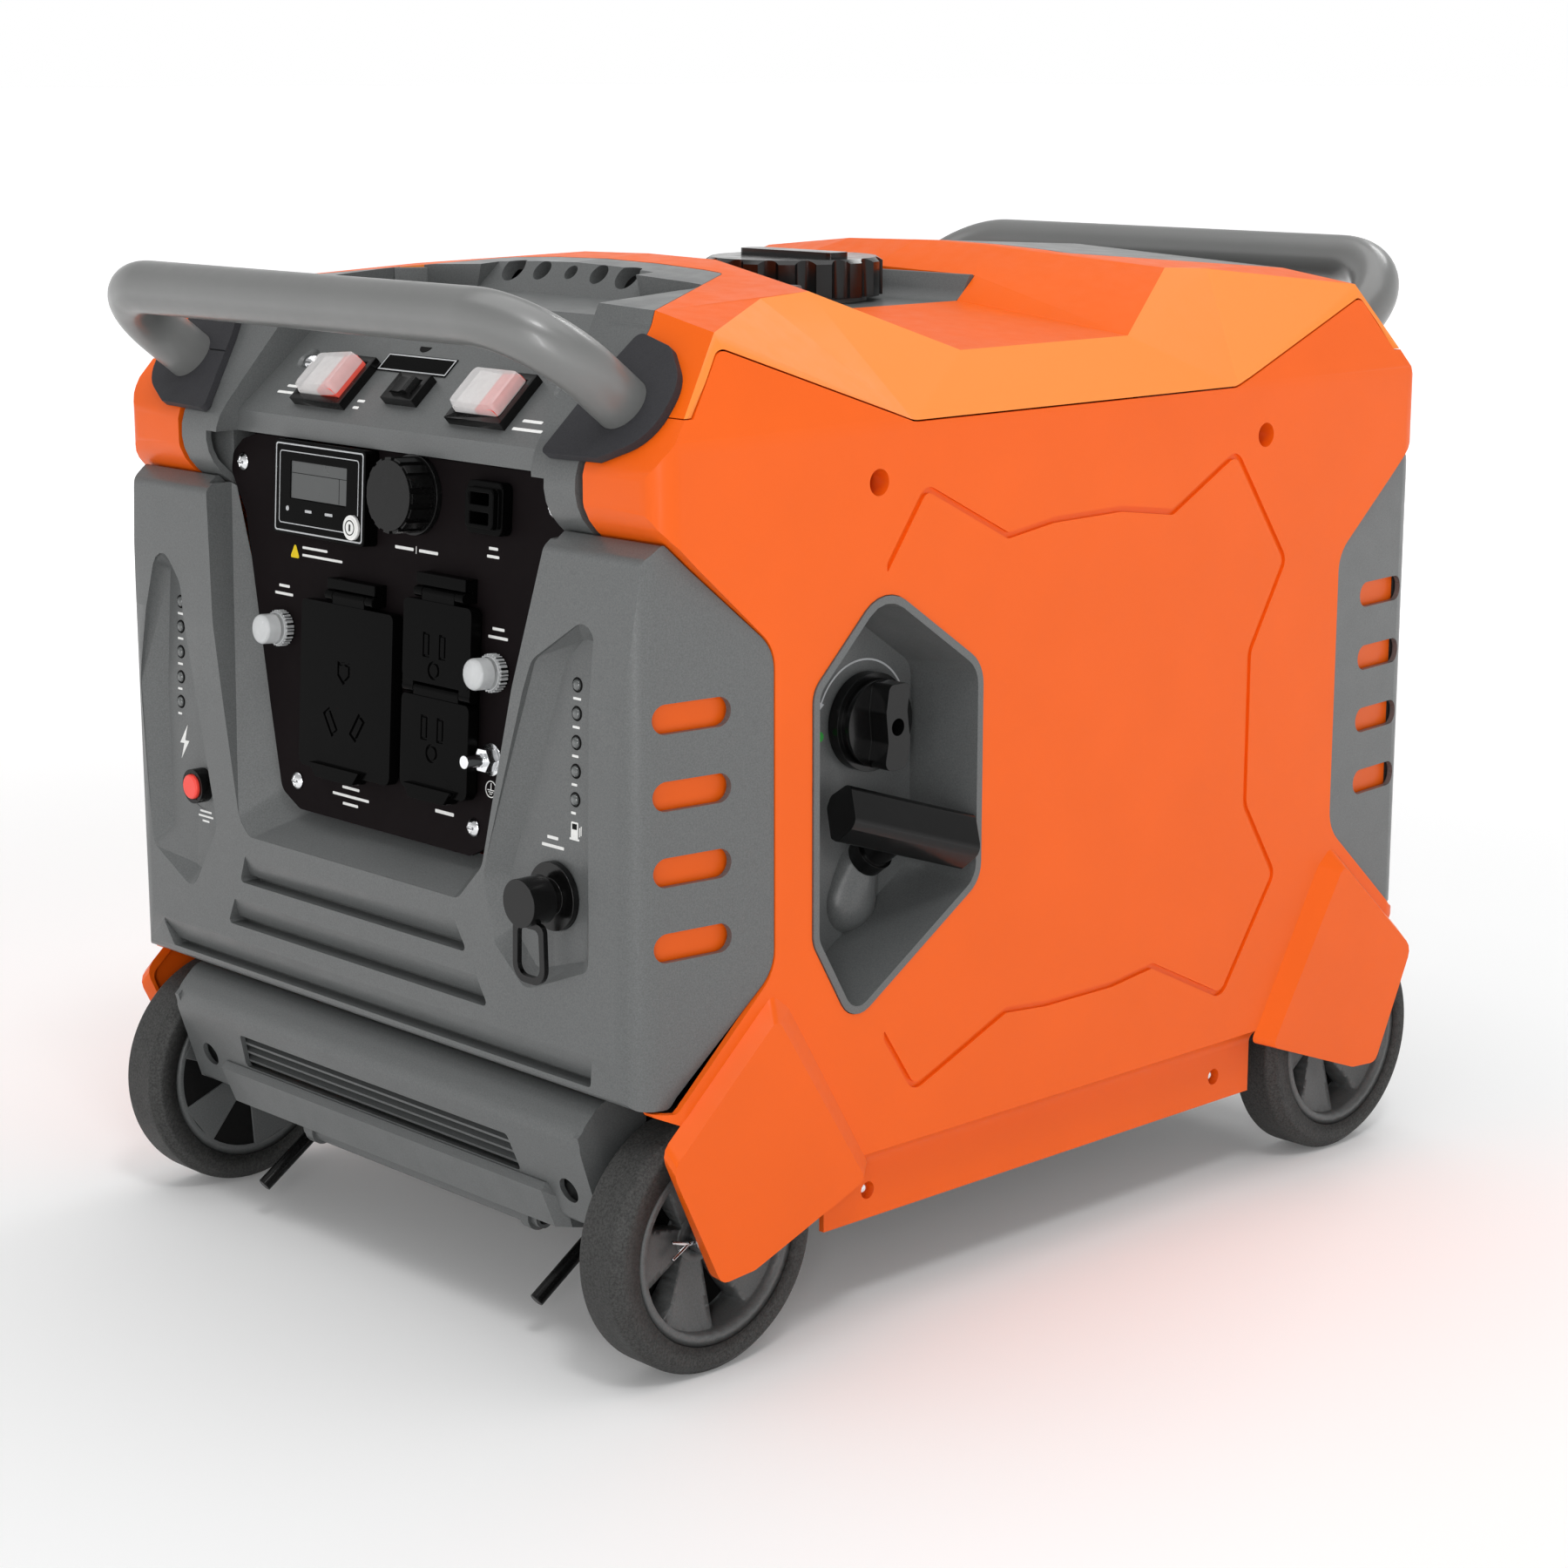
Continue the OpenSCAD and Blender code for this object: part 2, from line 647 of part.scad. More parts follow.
module switch_recess() {
    // the switch face, between slanted flanks
    intersection() {
        slab_x(-130, 130, [[-320, lip_z - 60], [-252, lip_z - 60], [-252, 408], [-193, 461], [-150, 464], [-150, 520], [-320, 520]]);
        slab_y(-330, -140, [[-128, 340], [128, 340], [119, lip_z + 2], [112, 446], [106, 500], [-106, 500], [-112, 446], [-119, lip_z + 2]]);
    }
}
module scoop() {
    intersection() {
        slab_x(-62, 62, [[-200, 520], [-196, 463.5], [-150, 463.5], [-131, 486], [-131, 520]]);
        slab_y(-330, -100, [[-62, 460], [62, 460], [50, 500], [-50, 500]]);
    }
}
scoop_holes = [[-43, 7.4], [-21.5, 5.6], [0, 4], [20.5, 5.6], [41, 7.4]];
module switch_cutouts() {
    on_switches() {
        both_sides() box([59.5 - 18, 7.5 + 1.5, -30], [59.5 + 18, 37.5 - 1.5, 1]);
        box([-13, 16, -30], [7, 29, 1]);
        both_sides() translate([97, 36, -1.5]) cylinder(h = 8, r1 = 5.2, r2 = 12);
    }
}

module front_console() color(mid_gray) {
    difference() {
        union() {
            difference() {
                console_solid(0);
                console_solid(4.5);
                // room behind for the panel
                box([-128, -300, 340], [128, -100, lip_z - 2]);
                box([-180, -200, 340], [180, -118, 452]);
            }
            // flanks beside the panel
            intersection() {
                console_solid(0);
                both_sides() slab_z(364, lip_z + 8, [[151, -260], [151, -236], [128.4, -236], [128.4, -248.5], [133, -251]]);
            }
            // walls of the switch recess and scoop
            intersection() {
                console_solid(0);
                translate([0, 1.5, -wall]) union() {
                    recess_walls();
                }
            }
        }
        switch_recess();
        scoop();
        switch_cutouts();
        for (h = scoop_holes) translate([h[0], -140, 473]) rotate([50, 0, 0]) cylinder(h = 60, r = h[1], center = true);
        box([-128, -300, 340], [128, -100, lip_z - 2]);
    }
}
// The recess grown by the wall, as a solid whose face is cut by the recess.
module recess_walls() {
    intersection() {
        slab_x(-134, 134, [[-320, lip_z - 60], [-249, lip_z - 60], [-249, 406], [-191, 458], [-147, 461], [-128, 484], [-128, 520], [-320, 520]]);
        slab_y(-330, -120, [[-132, 340], [132, 340], [123, lip_z + 2], [116, 446], [110, 500], [-110, 500], [-116, 446], [-123, lip_z + 2]]);
    }
}

module rear_console() color(mid_gray) mirror([0, 1, 0]) {
    difference() {
        console_solid(0);
        console_solid(4.5);
        box([-180, -200, 340], [180, -118, 452]);
        for (x = [-90 : 15 : 90]) box([x - 3, -320, 405], [x + 3, -238, 440]);
    }
}

// ---------------------------------------------------------------- handles

bend_r = 40;
module handle() {
    leg_x = handle_span / 2;
    on_slope() rotate([-90, 0, 0]) {
        // local -Y is outwards along the slope's normal after this turn
        for (s = [-1, 1]) {
            translate([s * leg_x, 0, 0]) rotate([90, 0, 0]) translate([0, 0, -plate_t]) cylinder(h = handle_reach - bend_r + plate_t, d = tube_d);
            translate([s * (leg_x - bend_r), -(handle_reach - bend_r), 0])
                rotate([0, 0, s > 0 ? -90 : 180])
                rotate_extrude(angle = 90, $fn = 64) translate([bend_r, 0]) circle(d = tube_d, $fn = 48);
        }
        translate([-(leg_x - bend_r), -handle_reach, 0]) rotate([0, 90, 0]) cylinder(h = 2 * (leg_x - bend_r), d = tube_d);
    }
}
module front_handle() color("#8b8c8c") handle();
module rear_handle() color("#8b8c8c") mirror([0, 1, 0]) handle();

// Black plates under the handle legs, on the inclined faces.
plate_line = [[-35, -28, 3], [2, -27, 0], [27, -14, 22], [27, 14, 22], [10, 30, 10], [-14, 36, 5], [-23, 14, 0]];
module handle_mounts() color("#343436") {
    four_corners() difference() {
        on_slope() translate([handle_span / 2, 0, -plate_t]) linear_extrude(plate_t) polygon(rounded(plate_line));
        on_slope() translate([handle_span / 2, 0, -20]) cylinder(h = 40, d = tube_d);
        // fine split line across the plate
        on_slope() translate([handle_span / 2 - 40, 4, -0.8]) cube([30, 0.8, 2]);
    }
}

// ---------------------------------------------------------------- base, axles, shields

tray_z = 48;
module base_tray() color("#77797a") {
    difference() {
        union() {
            box([-158, -232, tray_z], [158, 232, tray_z + wall]);
            both_sides() box([155, -232, tray_z], [158, 232, tray_z + 40]);
            both_ends() {
                // tie tube below each end, with its brackets and collars
                rod_x(-92, 92, -241, 50, 5.4);
                both_sides() rod_x(82, 88, -241, 50, 7.2);
                for (x = [-60, 60]) box([x - 3, -241, tray_z], [x + 3, -226, tray_z + 3]);
            }
            // engine feet
            for (x = [-75, -12], y = [-30, 70]) box([x - 12, y - 12, tray_z], [x + 12, y + 12, tray_z + 14]);
        }
        both_ends() rod_x(-170, 170, -wheel_y, tyre_r, axle_r + 0.05);
        for (y = [-180 : 30 : 180]) box([-30, y - 6, tray_z - 1], [30, y + 6, tray_z + wall + 1]);
        both_ends() rod_x(-100, 100, -241, 50, 3.6);
    }
}

shield_line = [
    [-236, 124, 2], [-262, 126, 10], [-277, 112, 14], [-262, 66, 6], [-244, 58, 3], [-232, 58, 0]
];
module shield() {
    difference() {
        slab_x(-158, 158, rounded(shield_line));
        slab_x(-160, 160, rounded(inset(shield_line, 2.5)));
        box([-170, -240, 30], [170, -226, 140]);
        // louvre window
        slab_y(-300, -250, rounded([[-109, 83, 2], [108, 83, 2], [105, 101, 2], [-105, 101, 2]], 3));
        // round holes at the ends
        for (s = [-1, 1]) translate([s * 141, -240, 82]) rotate([90, 0, 0]) cylinder(h = 60, r = 6);
    }
    // slats
    for (i = [0 : 2]) {
        translate([0, -268.6 + i * 1.7, 96.5 - i * 5]) rotate([25, 0, 0]) box([-110, -1, -1], [110, 9, 0.6]);
    }
    // bulged lip in front of the tie tube
    hull() {
        slab_x(-126, 126, [[-268, 82], [-271, 79], [-263, 60], [-250, 58], [-250, 82]]);
        slab_x(-132, 132, [[-262, 74], [-258, 60], [-250, 58], [-250, 78]]);
    }
    // end gussets
    both_sides() slab_x(155, 158, [[-276, 112], [-262, 66], [-244, 58], [-236, 58], [-236, 122], [-262, 124]]);
}
module end_shields() color("#77797a") both_ends() shield();

// Split pins hold the wheels on; pin_x is their distance from a wheel's middle.
pin_x = 3.2;
module axles() color(steel) both_ends() {
    difference() {
        rod_x(-wheel_x - 7, wheel_x + 7, -wheel_y, tyre_r, axle_r);
        both_sides() translate([wheel_x + pin_x, -wheel_y, tyre_r]) rotate([90, 0, 0]) cylinder(h = 20, r = 1.5, center = true);
    }
}

peg_r = 3.5;
module tie_down_pegs() color(near_black) both_sides() {
    translate([108, -260, 19]) rotate([-56, 0, 0]) cylinder(h = 42, r = peg_r);
}

// ---------------------------------------------------------------- wheels

hub_ring_r = 46.6;
module tyre() {
    rotate([0, 90, 0]) rotate_extrude($fn = 128) polygon(rounded([
        [hub_ring_r, -tyre_w / 2, 0], [hub_ring_r + 9, -tyre_w / 2, 2], [tyre_r, -tyre_w / 2 + 4.5, 3],
        [tyre_r, tyre_w / 2 - 4.5, 3], [hub_ring_r + 9, tyre_w / 2, 2], [hub_ring_r, tyre_w / 2, 0]
    ], 4));
}
module hub() {
    ring_in = 41.6;
    difference() {
        union() {
            rotate([0, 90, 0]) rotate_extrude($fn = 96) polygon([
                [ring_in, -tyre_w / 2 + 1], [hub_ring_r, -tyre_w / 2 + 1], [hub_ring_r, tyre_w / 2 - 1],
                [ring_in, tyre_w / 2 - 1], [ring_in - 2, 0]
            ]);
            // boss and back web
            rod_x(-12, 0.5, 0, 0, 11);
            rod_x(-12, -10, 0, 0, 42);
            // five dished blades, wide at the ring
            intersection() {
                union() {
                    for (a = [0 : 72 : 359]) rotate([a + 18, 0, 0])
                        slab_x(-8, 8, [[-5, 5], [5, 5], [15.5, 41], [-15.5, 41]]);
                }
                rotate([0, 90, 0]) rotate_extrude($fn = 96) polygon([
                    [4, -6], [10, -6], [42, -8], [42, 8], [12, -0.5], [4, -0.5]
                ]);
            }
        }
        rod_x(-30, 30, 0, 0, axle_r + 0.06);
    }
}
module at_wheel(sx, sy) {
    translate([sx * wheel_x, sy * wheel_y, tyre_r]) rotate([0, 0, sx > 0 ? 0 : 180]) children();
}
module front_right_tyre() color("#323233") at_wheel(1, -1) tyre();
module front_left_tyre() color("#323233") at_wheel(-1, -1) tyre();
module rear_right_tyre() color("#323233") at_wheel(1, 1) tyre();
module rear_left_tyre() color("#323233") at_wheel(-1, 1) tyre();
module front_right_hub() color("#5c5e5f") at_wheel(1, -1) hub();
module front_left_hub() color("#5c5e5f") at_wheel(-1, -1) hub();
module rear_right_hub() color("#5c5e5f") at_wheel(1, 1) hub();
module rear_left_hub() color("#5c5e5f") at_wheel(-1, 1) hub();

// ---------------------------------------------------------------- starter pocket

pocket_floor_x = 163;
pocket_rim = 3.5;
module pocket_void(d) {
    hull() {
        slab_x(half_w + 1.2, half_w + 1.4, rounded(inset(pocket_outline, pocket_rim - d), 4));
        slab_x(pocket_floor_x - d, pocket_floor_x - d + 0.2, rounded(inset(pocket_outline, pocket_rim + 4 - d), 4));
    }
}
module starter_pocket() color(mid_gray) {
    difference() {
        union() {
            intersection() {
                pocket_void(2.5);
                box([100, -250, 100], [half_w + 0.8, 0, 400]);
            }
            slab_x(half_w - 2.5, half_w + 0.8, rounded(pocket_outline));
        }
        difference() {
            pocket_void(0);
            // bulge round the rope guide
            hull() {
                translate([156, -114, 192]) sphere(r = 17, $fn = 32);
                translate([161, -111, 207]) sphere(r = 12, $fn = 32);
            }
            on_pull() translate([0, 0, -12]) cylinder(h = 12, r = 8.5);
        }
        on_pull() translate([0, 0, -40]) cylinder(h = 60, r = 3.2);
        on_pull() translate([0, 0, 0.4]) cylinder(h = 20, r = 12.5);
        // spindle hole of the selector knob
        rod_x(150, 170, -106, 276, 4.06);
    }
}

module fuel_selector_knob() color(near_black) {
    translate([pocket_floor_x + 0.4, -106, 276]) rotate([0, 90, 0]) {
        difference() {
            union() {
                cylinder(h = 6, r = knob_r);
                cylinder(h = 11, r = knob_r - 2.5);
                // raised grip bar across the knob
                linear_extrude(22) polygon(rounded([
                    [-20, -5.5, 3], [-7, -7.5, 4], [7, -6, 4], [20, -8.5, 4], [20, 6, 4], [7, 8, 4], [-7, 6, 4], [-20, 8, 3]
                ], 4));
            }
            translate([0, 0, 14]) cylinder(h = 12, r = 4);
        }
        translate([0, 0, -10]) cylinder(h = 12, r = 4);
    }
}

module starter_grip() color(near_black) on_pull() {
    difference() {
        union() {
            translate([0, 0, 1]) cylinder(h = 8, r = 9.5);
            translate([0, 0, 9]) cylinder(h = 20, r = 8);
            rotate([0, 0, -grip_tilt]) translate([0, 0, 24]) rotate([90, 0, 0])
                translate([0, 0, -grip_l / 2]) linear_extrude(grip_l)
                polygon(rounded([[-12, 2, 4], [-8, -2, 3], [8, -2, 3], [12, 2, 4], [11, 18, 5], [-11, 18, 5]], 4));
        }
        translate([0, 0, -5]) cylinder(h = 18, r = 2.6);
    }
}
module starter_rope() color("#e8e8e4") on_pull() translate([0, 0, -30]) cylinder(h = 42, r = 2.3);

// ---------------------------------------------------------------- fuel system

tank_top = 440;
cap_y = 5;
module fuel_tank() color("#2b2c2d") {
    difference() {
        union() {
            slab_z(350, tank_top, rounded([[-120, -105, 25], [120, -105, 25], [120, 150, 25], [-120, 150, 25]]));
            translate([0, cap_y, tank_top - 1]) cylinder(h = 15, r = 34);
            box([-135, 10, 385], [135, 40, 391]);
        }
        slab_z(353, tank_top - 3, rounded([[-117, -102, 22], [117, -102, 22], [117, 147, 22], [-117, 147, 22]]));
        translate([0, cap_y, 400]) cylinder(h = 80, r = 27);
    }
}

neck_r = 37;
module filler_tray() color("#7b7d7d") {
    difference() {
        union() {
            box([-71.6, -61.6, 451], [71.6, 61.6, 454.2]);
            both_ends() slab_x(-71.6, 71.6, rounded([[-61.6, 451, 0], [-46, 451, 0], [-46, 454.2, 0], [-52, 456, 12], [-58.5, 467.5, 1], [-61.6, 467.5, 1]]));
            translate([0, cap_y, 451]) cylinder(h = 5.4, r = neck_r);
        }
        translate([0, cap_y, 440]) cylinder(h = 40, r = 28);
        translate([0, cap_y, 440]) cylinder(h = 14.5, r = 34.4);
    }
}

cap_top = 476;
cap_low = 457;
module fuel_cap() color(near_black) translate([0, cap_y, 0]) {
    difference() {
        union() {
            translate([0, 0, cap_low]) cylinder(h = cap_top - cap_low - 2, r = cap_r);
            translate([0, 0, cap_top - 2.01]) cylinder(h = 2.01, r1 = cap_r, r2 = cap_r - 3);
            translate([0, 0, 445]) cylinder(h = 20, r = 26);
            // raised centre bar
            translate([0, 0, cap_top - 1]) linear_extrude(4) polygon(rounded([[-34, -7, 4], [34, -7, 4], [34, 7, 4], [-34, 7, 4]], 4));
        }
        // scallops round the rim
        for (a = [0 : 24 : 359]) rotate([0, 0, a + 12]) translate([cap_r + 3.6, 0, 450]) cylinder(h = 40, r = 6.6);
        translate([0, 0, 444]) cylinder(h = 12, r = 22);
    }
}

// ---------------------------------------------------------------- engine

crank_y = 20;
crank_z = 150;
crank_r = 12.5;

module engine_block() color("#8f9294") {
    difference() {
        union() {
            box([-95, crank_y - 65, 62], [10, crank_y + 65, 205]);
            // inclined cylinder and head with cooling fins
            translate([-42, crank_y + 40, crank_z + 20]) rotate([-60, 0, 0]) {
                cylinder(h = 120, r = 38);
                for (i = [0 : 7]) translate([-46, -46, 35 + i * 10]) cube([92, 92, 3]);
                translate([-44, -44, 108]) cube([88, 88, 24]);
            }
            // carburettor on top of the cylinder
            box([-80, 88, 222], [-45, 122, 262]);
            rod_x(-90, -40, 105, 246, 13);
        }
        box([-85, crank_y - 55, 75], [0, crank_y + 55, 195]);
        rod_x(-110, 30, crank_y, crank_z, crank_r + 0.06);
    }
}
module stator() color("#b06a36") {
    difference() {
        union() {
            rod_x(10, 83, crank_y, crank_z, 32);
            for (a = [0 : 20 : 359]) translate([30, crank_y, crank_z]) rotate([a, 0, 0]) box([0, -4.5, 28], [50, 4.5, 56]);
            for (a = [0 : 20 : 359]) translate([30, crank_y, crank_z]) rotate([a, 0, 0]) box([3, -6, 53], [47, 6, 60]);
        }
        rod_x(0, 90, crank_y, crank_z, 20);
    }
}
module crankshaft() color(steel) {
    rod_x(-93, 128, crank_y, crank_z, crank_r);
    // crank web inside the block
    rod_x(-60, -48, crank_y, crank_z, 38);
    rod_x(-34, -22, crank_y, crank_z, 38);
    // rotor cup round the stator
    difference() {
        rod_x(24, 96, crank_y, crank_z, 74);
        rod_x(20, 88, crank_y, crank_z, 64);
    }
    // cooling fan blades
    for (a = [0 : 30 : 359]) translate([96, crank_y, crank_z]) rotate([a, 0, 0]) box([0, -2, 40], [14, 2, 72]);
}
module recoil_housing() color("#46484a") {
    difference() {
        union() {
            rod_x(85, 150, crank_y, crank_z, 88);
            // rope duct towards the pocket's guide
            box([128, -62, 150], [146, crank_y, 176]);
            box([100, 5, tray_z + wall], [140, 35, 64]);
        }
        rod_x(80, 132, crank_y, crank_z, 84);
        rod_x(135, 147, crank_y, crank_z, 60);
        for (a = [0 : 24 : 359]) translate([120, crank_y, crank_z]) rotate([a, 0, 0]) box([0, -4, 66], [40, 4, 78]);
        box([131, -64, 158], [143, crank_y, 168]);
    }
}
module air_filter() color(near_black) {
    slab_z(205, 300, rounded([[-178, 55, 10], [-91, 55, 10], [-91, 145, 10], [-178, 145, 10]]));
}
module muffler() color("#6d6f70") {
    difference() {
        union() {
            slab_x(-150, 90, rounded([[172, 82, 12], [232, 82, 12], [232, 182, 12], [172, 182, 12]]));
            translate([exhaust_at[0], 230, exhaust_at[1]]) rotate([-90, 0, 0]) cylinder(h = 38.5, r = exhaust_r + 2);
            box([-20, 205, tray_z + wall], [0, 215, 84]);
        }
        slab_x(-147, 87, rounded([[175, 85, 9], [229, 85, 9], [229, 179, 9], [175, 179, 9]]));
        translate([exhaust_at[0], 222, exhaust_at[1]]) rotate([-90, 0, 0]) cylinder(h = 60, r = exhaust_r);
    }
}
module inverter_module() color("#9a9da0") {
    box([-90, -215, tray_z + wall], [90, -150, 100]);
    for (x = [-88 : 8 : 88]) box([x - 1.2, -215, 100], [x + 1.2, -150, 150]);
}
module battery() color("#22272b") {
    slab_z(tray_z + wall, 150, rounded([[-150, -190, 4], [-100, -190, 4], [-100, -90, 4], [-150, -90, 4]]));
    for (y = [-175, -105]) translate([-125, y, 150]) cylinder(h = 8, r = 5);
}

// ---------------------------------------------------------------- control panel

panel_line = mirror_x([
    [66, 20.5, 8], [81, 28, 8], [91.5, 66, 20], [115.5, 159, 8], [128, 178, 6], [127, 187, 6], [119, 194, 6], [107, 197.5, 4]
]);
panel_t = 2.5;
display_at = [-81, 153];
display_size = [72, 44.5];
mode_at = [-18.5, 161.2];
parallel_at = [20, 180];
usb_at = [76.3, 179.5];
rv_at = [-55.8, 45];
rv_size = [71.2, 79.5];
duplex_at = [23.2, 47];
duplex_w = 49.6;
duplex_fold = 93.6;
duplex_top = 134.3;
reset_x = 81.5;
reset_v = 106.5;
ground_at = [79.6, 67];
panel_screws = [[-118, 183], [118, 183], [-68, 34], [68, 34]];

module control_panel() color(near_black) on_panel() {
    difference() {
        translate([0, 0, -panel_t]) linear_extrude(panel_t) polygon(rounded(panel_line));
        translate([display_at[0] + 4, display_at[1] + 4, -10]) cube([display_size[0] - 8, display_size[1] - 8, 20]);
        translate([parallel_at[0], parallel_at[1], -10]) cylinder(h = 20, r = 14);
        translate([usb_at[0] - 10, usb_at[1] - 9, -10]) cube([20, 18, 20]);
        translate([rv_at[0] + 8, rv_at[1] + 8, -10]) cube([rv_size[0] - 16, rv_size[1] - 16, 20]);
        translate([duplex_at[0] + 7, duplex_at[1] + 5, -10]) cube([duplex_w - 14, 76, 20]);
        for (s = [-1, 1]) translate([s * reset_x, reset_v, -10]) cylinder(h = 20, r = 6.5);
        translate([ground_at[0], ground_at[1], -10]) cylinder(h = 20, r = 3);
        for (p = panel_screws) translate([p[0], p[1], -10]) cylinder(h = 20, r = 2);
    }
}

module display_unit() color("#111112") on_panel() {
    difference() {
        union() {
            translate([display_at[0], display_at[1], 0]) linear_extrude(8) polygon(rounded([
                [0, 0, 2], [display_size[0], 0, 2], [display_size[0], display_size[1], 2], [0, display_size[1], 2]
            ], 3));
            translate([display_at[0] + 4.2, display_at[1] + 4.2, -18]) cube([display_size[0] - 8.4, display_size[1] - 8.4, 20]);
        }
        // screen window
        translate([-67.5, 170.5, 7]) cube([44, 17.6, 3]);
        translate([mode_at[0], mode_at[1], 4]) cylinder(h = 10, r = 6.1);
    }
}
module mode_button() color("#e9e9e9") on_panel() translate([mode_at[0], mode_at[1], 5.2]) {
    cylinder(h = 3.6, r = 5.8);
    translate([0, 0, 3.5]) cylinder(h = 0.5, r = 4.6);
}

module usb_socket() color(near_black) on_panel() difference() {
    union() {
        translate([usb_at[0] - 12.8, usb_at[1] - 11.8, 0]) linear_extrude(6) polygon(rounded([[0, 0, 3.5], [25.6, 0, 3.5], [25.6, 23.6, 3.5], [0, 23.6, 3.5]], 4));
        translate([usb_at[0] - 10, usb_at[1] - 9, 5]) linear_extrude(4) polygon(rounded([[0, 0, 2.5], [20, 0, 2.5], [20, 18, 2.5], [0, 18, 2.5]], 4));
        translate([usb_at[0] - 9.7, usb_at[1] - 8.7, -22]) cube([19.4, 17.4, 23]);
    }
    translate([usb_at[0] - 6.6, usb_at[1] - 7, -12]) cube([13.2, 5.2, 30]);
    translate([usb_at[0] - 6.6, usb_at[1] + 1.6, -12]) cube([13.2, 5.2, 30]);
}

// Weather covers: a fixed hinge block above each socket and a flap below it.
hinge_w = 6;
hinge_pin_r = 1.2;
module hinge_block(x0, x1, v, high) {
    difference() {
        union() {
            translate([x0, v - 2.2, 0]) cube([x1 - x0, high + 2.2, 3]);
            translate([x0, v + 3, 0]) cube([x1 - x0, high - 3, 7]);
            for (x = [x0, x1 - 6]) translate([x, v, hinge_w]) rotate([0, 90, 0]) cylinder(h = 6, r = 2.6);
            for (x = [x0, x1 - 6]) translate([x, v - 2.2, 0]) cube([6, 4.4, hinge_w]);
        }
        translate([x0 + 6, v - 3.1, 3]) cube([x1 - x0 - 12, 6.1, 8]);
    }
    translate([x0, v, hinge_w]) rotate([0, 90, 0]) cylinder(h = x1 - x0, r = hinge_pin_r);
}
module hinge_leaf(x0, x1, v) {
    difference() {
        union() {
            translate([x0 + 6.3, v, hinge_w]) rotate([0, 90, 0]) cylinder(h = x1 - x0 - 12.6, r = 2.5);
            translate([x0 + 6.3, v - 5.5, hinge_w - 2.3]) cube([x1 - x0 - 12.6, 5.5, 4.6]);
        }
        translate([x0, v, hinge_w]) rotate([0, 90, 0]) cylinder(h = x1 - x0, r = hinge_pin_r + 0.05);
    }
}

rv_hinge = [-38, -1, 128];
earth_mark = [[-4.8, 5.2], [-4.8, -1.6], [0, -5.6], [4.8, -1.6], [4.8, 5.2], [2.4, 4.4], [0, 5.2], [-2.4, 4.4]];
module rv_outlet() color(near_black) on_panel() {
    difference() {
        union() {
            translate([rv_at[0] + 3, rv_at[1] + 3, 0]) cube([rv_size[0] - 6, rv_size[1] - 6, 2.6]);
            translate([rv_at[0] + 8.3, rv_at[1] + 8.3, -38]) cube([rv_size[0] - 16.6, rv_size[1] - 16.6, 39]);
        }
        translate([-20.2, 84, -12]) translate([0, 9, 0]) cylinder(h = 30, r = 4.2);
        for (s = [-1, 1]) translate([-20.2 + s * 12, 68, -12]) rotate([0, 0, -s * 32]) translate([-1.6, -8, 0]) cube([3.2, 16, 30]);
    }
    hinge_block(rv_hinge[0], rv_hinge[1], rv_hinge[2], 8);
}
flap_low = 3;
module flap(x0, y0, x1, y1) {
    difference() {
        translate([0, 0, flap_low]) linear_extrude(5.6) polygon(rounded([[x0, y0, 4], [x1, y0, 4], [x1, y1, 3], [x0, y1, 3]], 4));
        translate([x0 + 2, y0 + 2, flap_low - 1]) cube([x1 - x0 - 4, y1 - y0 - 4, 3.8]);
    }
}
module rv_outlet_cover() color(near_black) on_panel() {
    x0 = rv_at[0];
    y0 = rv_at[1];
    difference() {
        union() {
            flap(x0, y0, x0 + rv_size[0], y0 + rv_size[1]);
            // pull lip
            translate([0, 0, 3.2]) linear_extrude(8) polygon(rounded([[-39, y0 - 3.5, 2], [-10, y0 - 3.5, 2], [-5, y0 + 3, 0], [-44, y0 + 3, 0]], 3));
            hinge_leaf(rv_hinge[0], rv_hinge[1], rv_hinge[2]);
        }
        // embossed shapes of the socket below: earth pin and two slanted blades
        translate([-21.5, 93, 7.8]) linear_extrude(2) difference() {
            polygon(earth_mark);
            offset(delta = -1.3) polygon(earth_mark);
        }
        for (s = [-1, 1]) translate([-20.6 + s * 10.4, 68.6, 7.8]) rotate([0, 0, -s * 34]) difference() {
            translate([-3, -6.4, 0]) cube([6, 12.8, 2]);
            translate([-1.7, -5.1, -1]) cube([3.4, 10.2, 4]);
        }
    }
}

duplex_hinge = [30, 66, 137.8];
module socket_face(v) {
    for (s = [[-5.9, 8.6], [5.9, 7.2]]) translate([46.5 + s[0] - 1, v + 5.7 - s[1] / 2, -12]) cube([2, s[1], 30]);
    translate([46.5, v - 5.5, -12]) cylinder(h = 30, r = 2.6);
}
module duplex_outlet() color(near_black) on_panel() {
    difference() {
        union() {
            translate([duplex_at[0] + 3, duplex_at[1] + 3, 0]) cube([duplex_w - 6, duplex_top - duplex_at[1] - 6, 2.6]);
            translate([duplex_at[0] + 7.3, duplex_at[1] + 5.3, -36]) cube([duplex_w - 14.6, 75.4, 37]);
        }
        socket_face(108.7);
        socket_face(70.8);
    }
    hinge_block(duplex_hinge[0], duplex_hinge[1], duplex_hinge[2], 8.6);
}
module blade_marks(v) {
    for (s = [-5.9, 5.9]) translate([46.5 + s, v + 5.7, 7.8]) difference() {
        translate([-2.4, -5.6, 0]) cube([4.8, 11.2, 2]);
        translate([-1.4, -4.6, -1]) cube([2.8, 9.2, 4]);
    }
    translate([46.5, v - 5.5, 7.8]) difference() {
        cylinder(h = 2, r = 4.2);
        translate([0, 0, -1]) cylinder(h = 4, r = 3);
    }
}
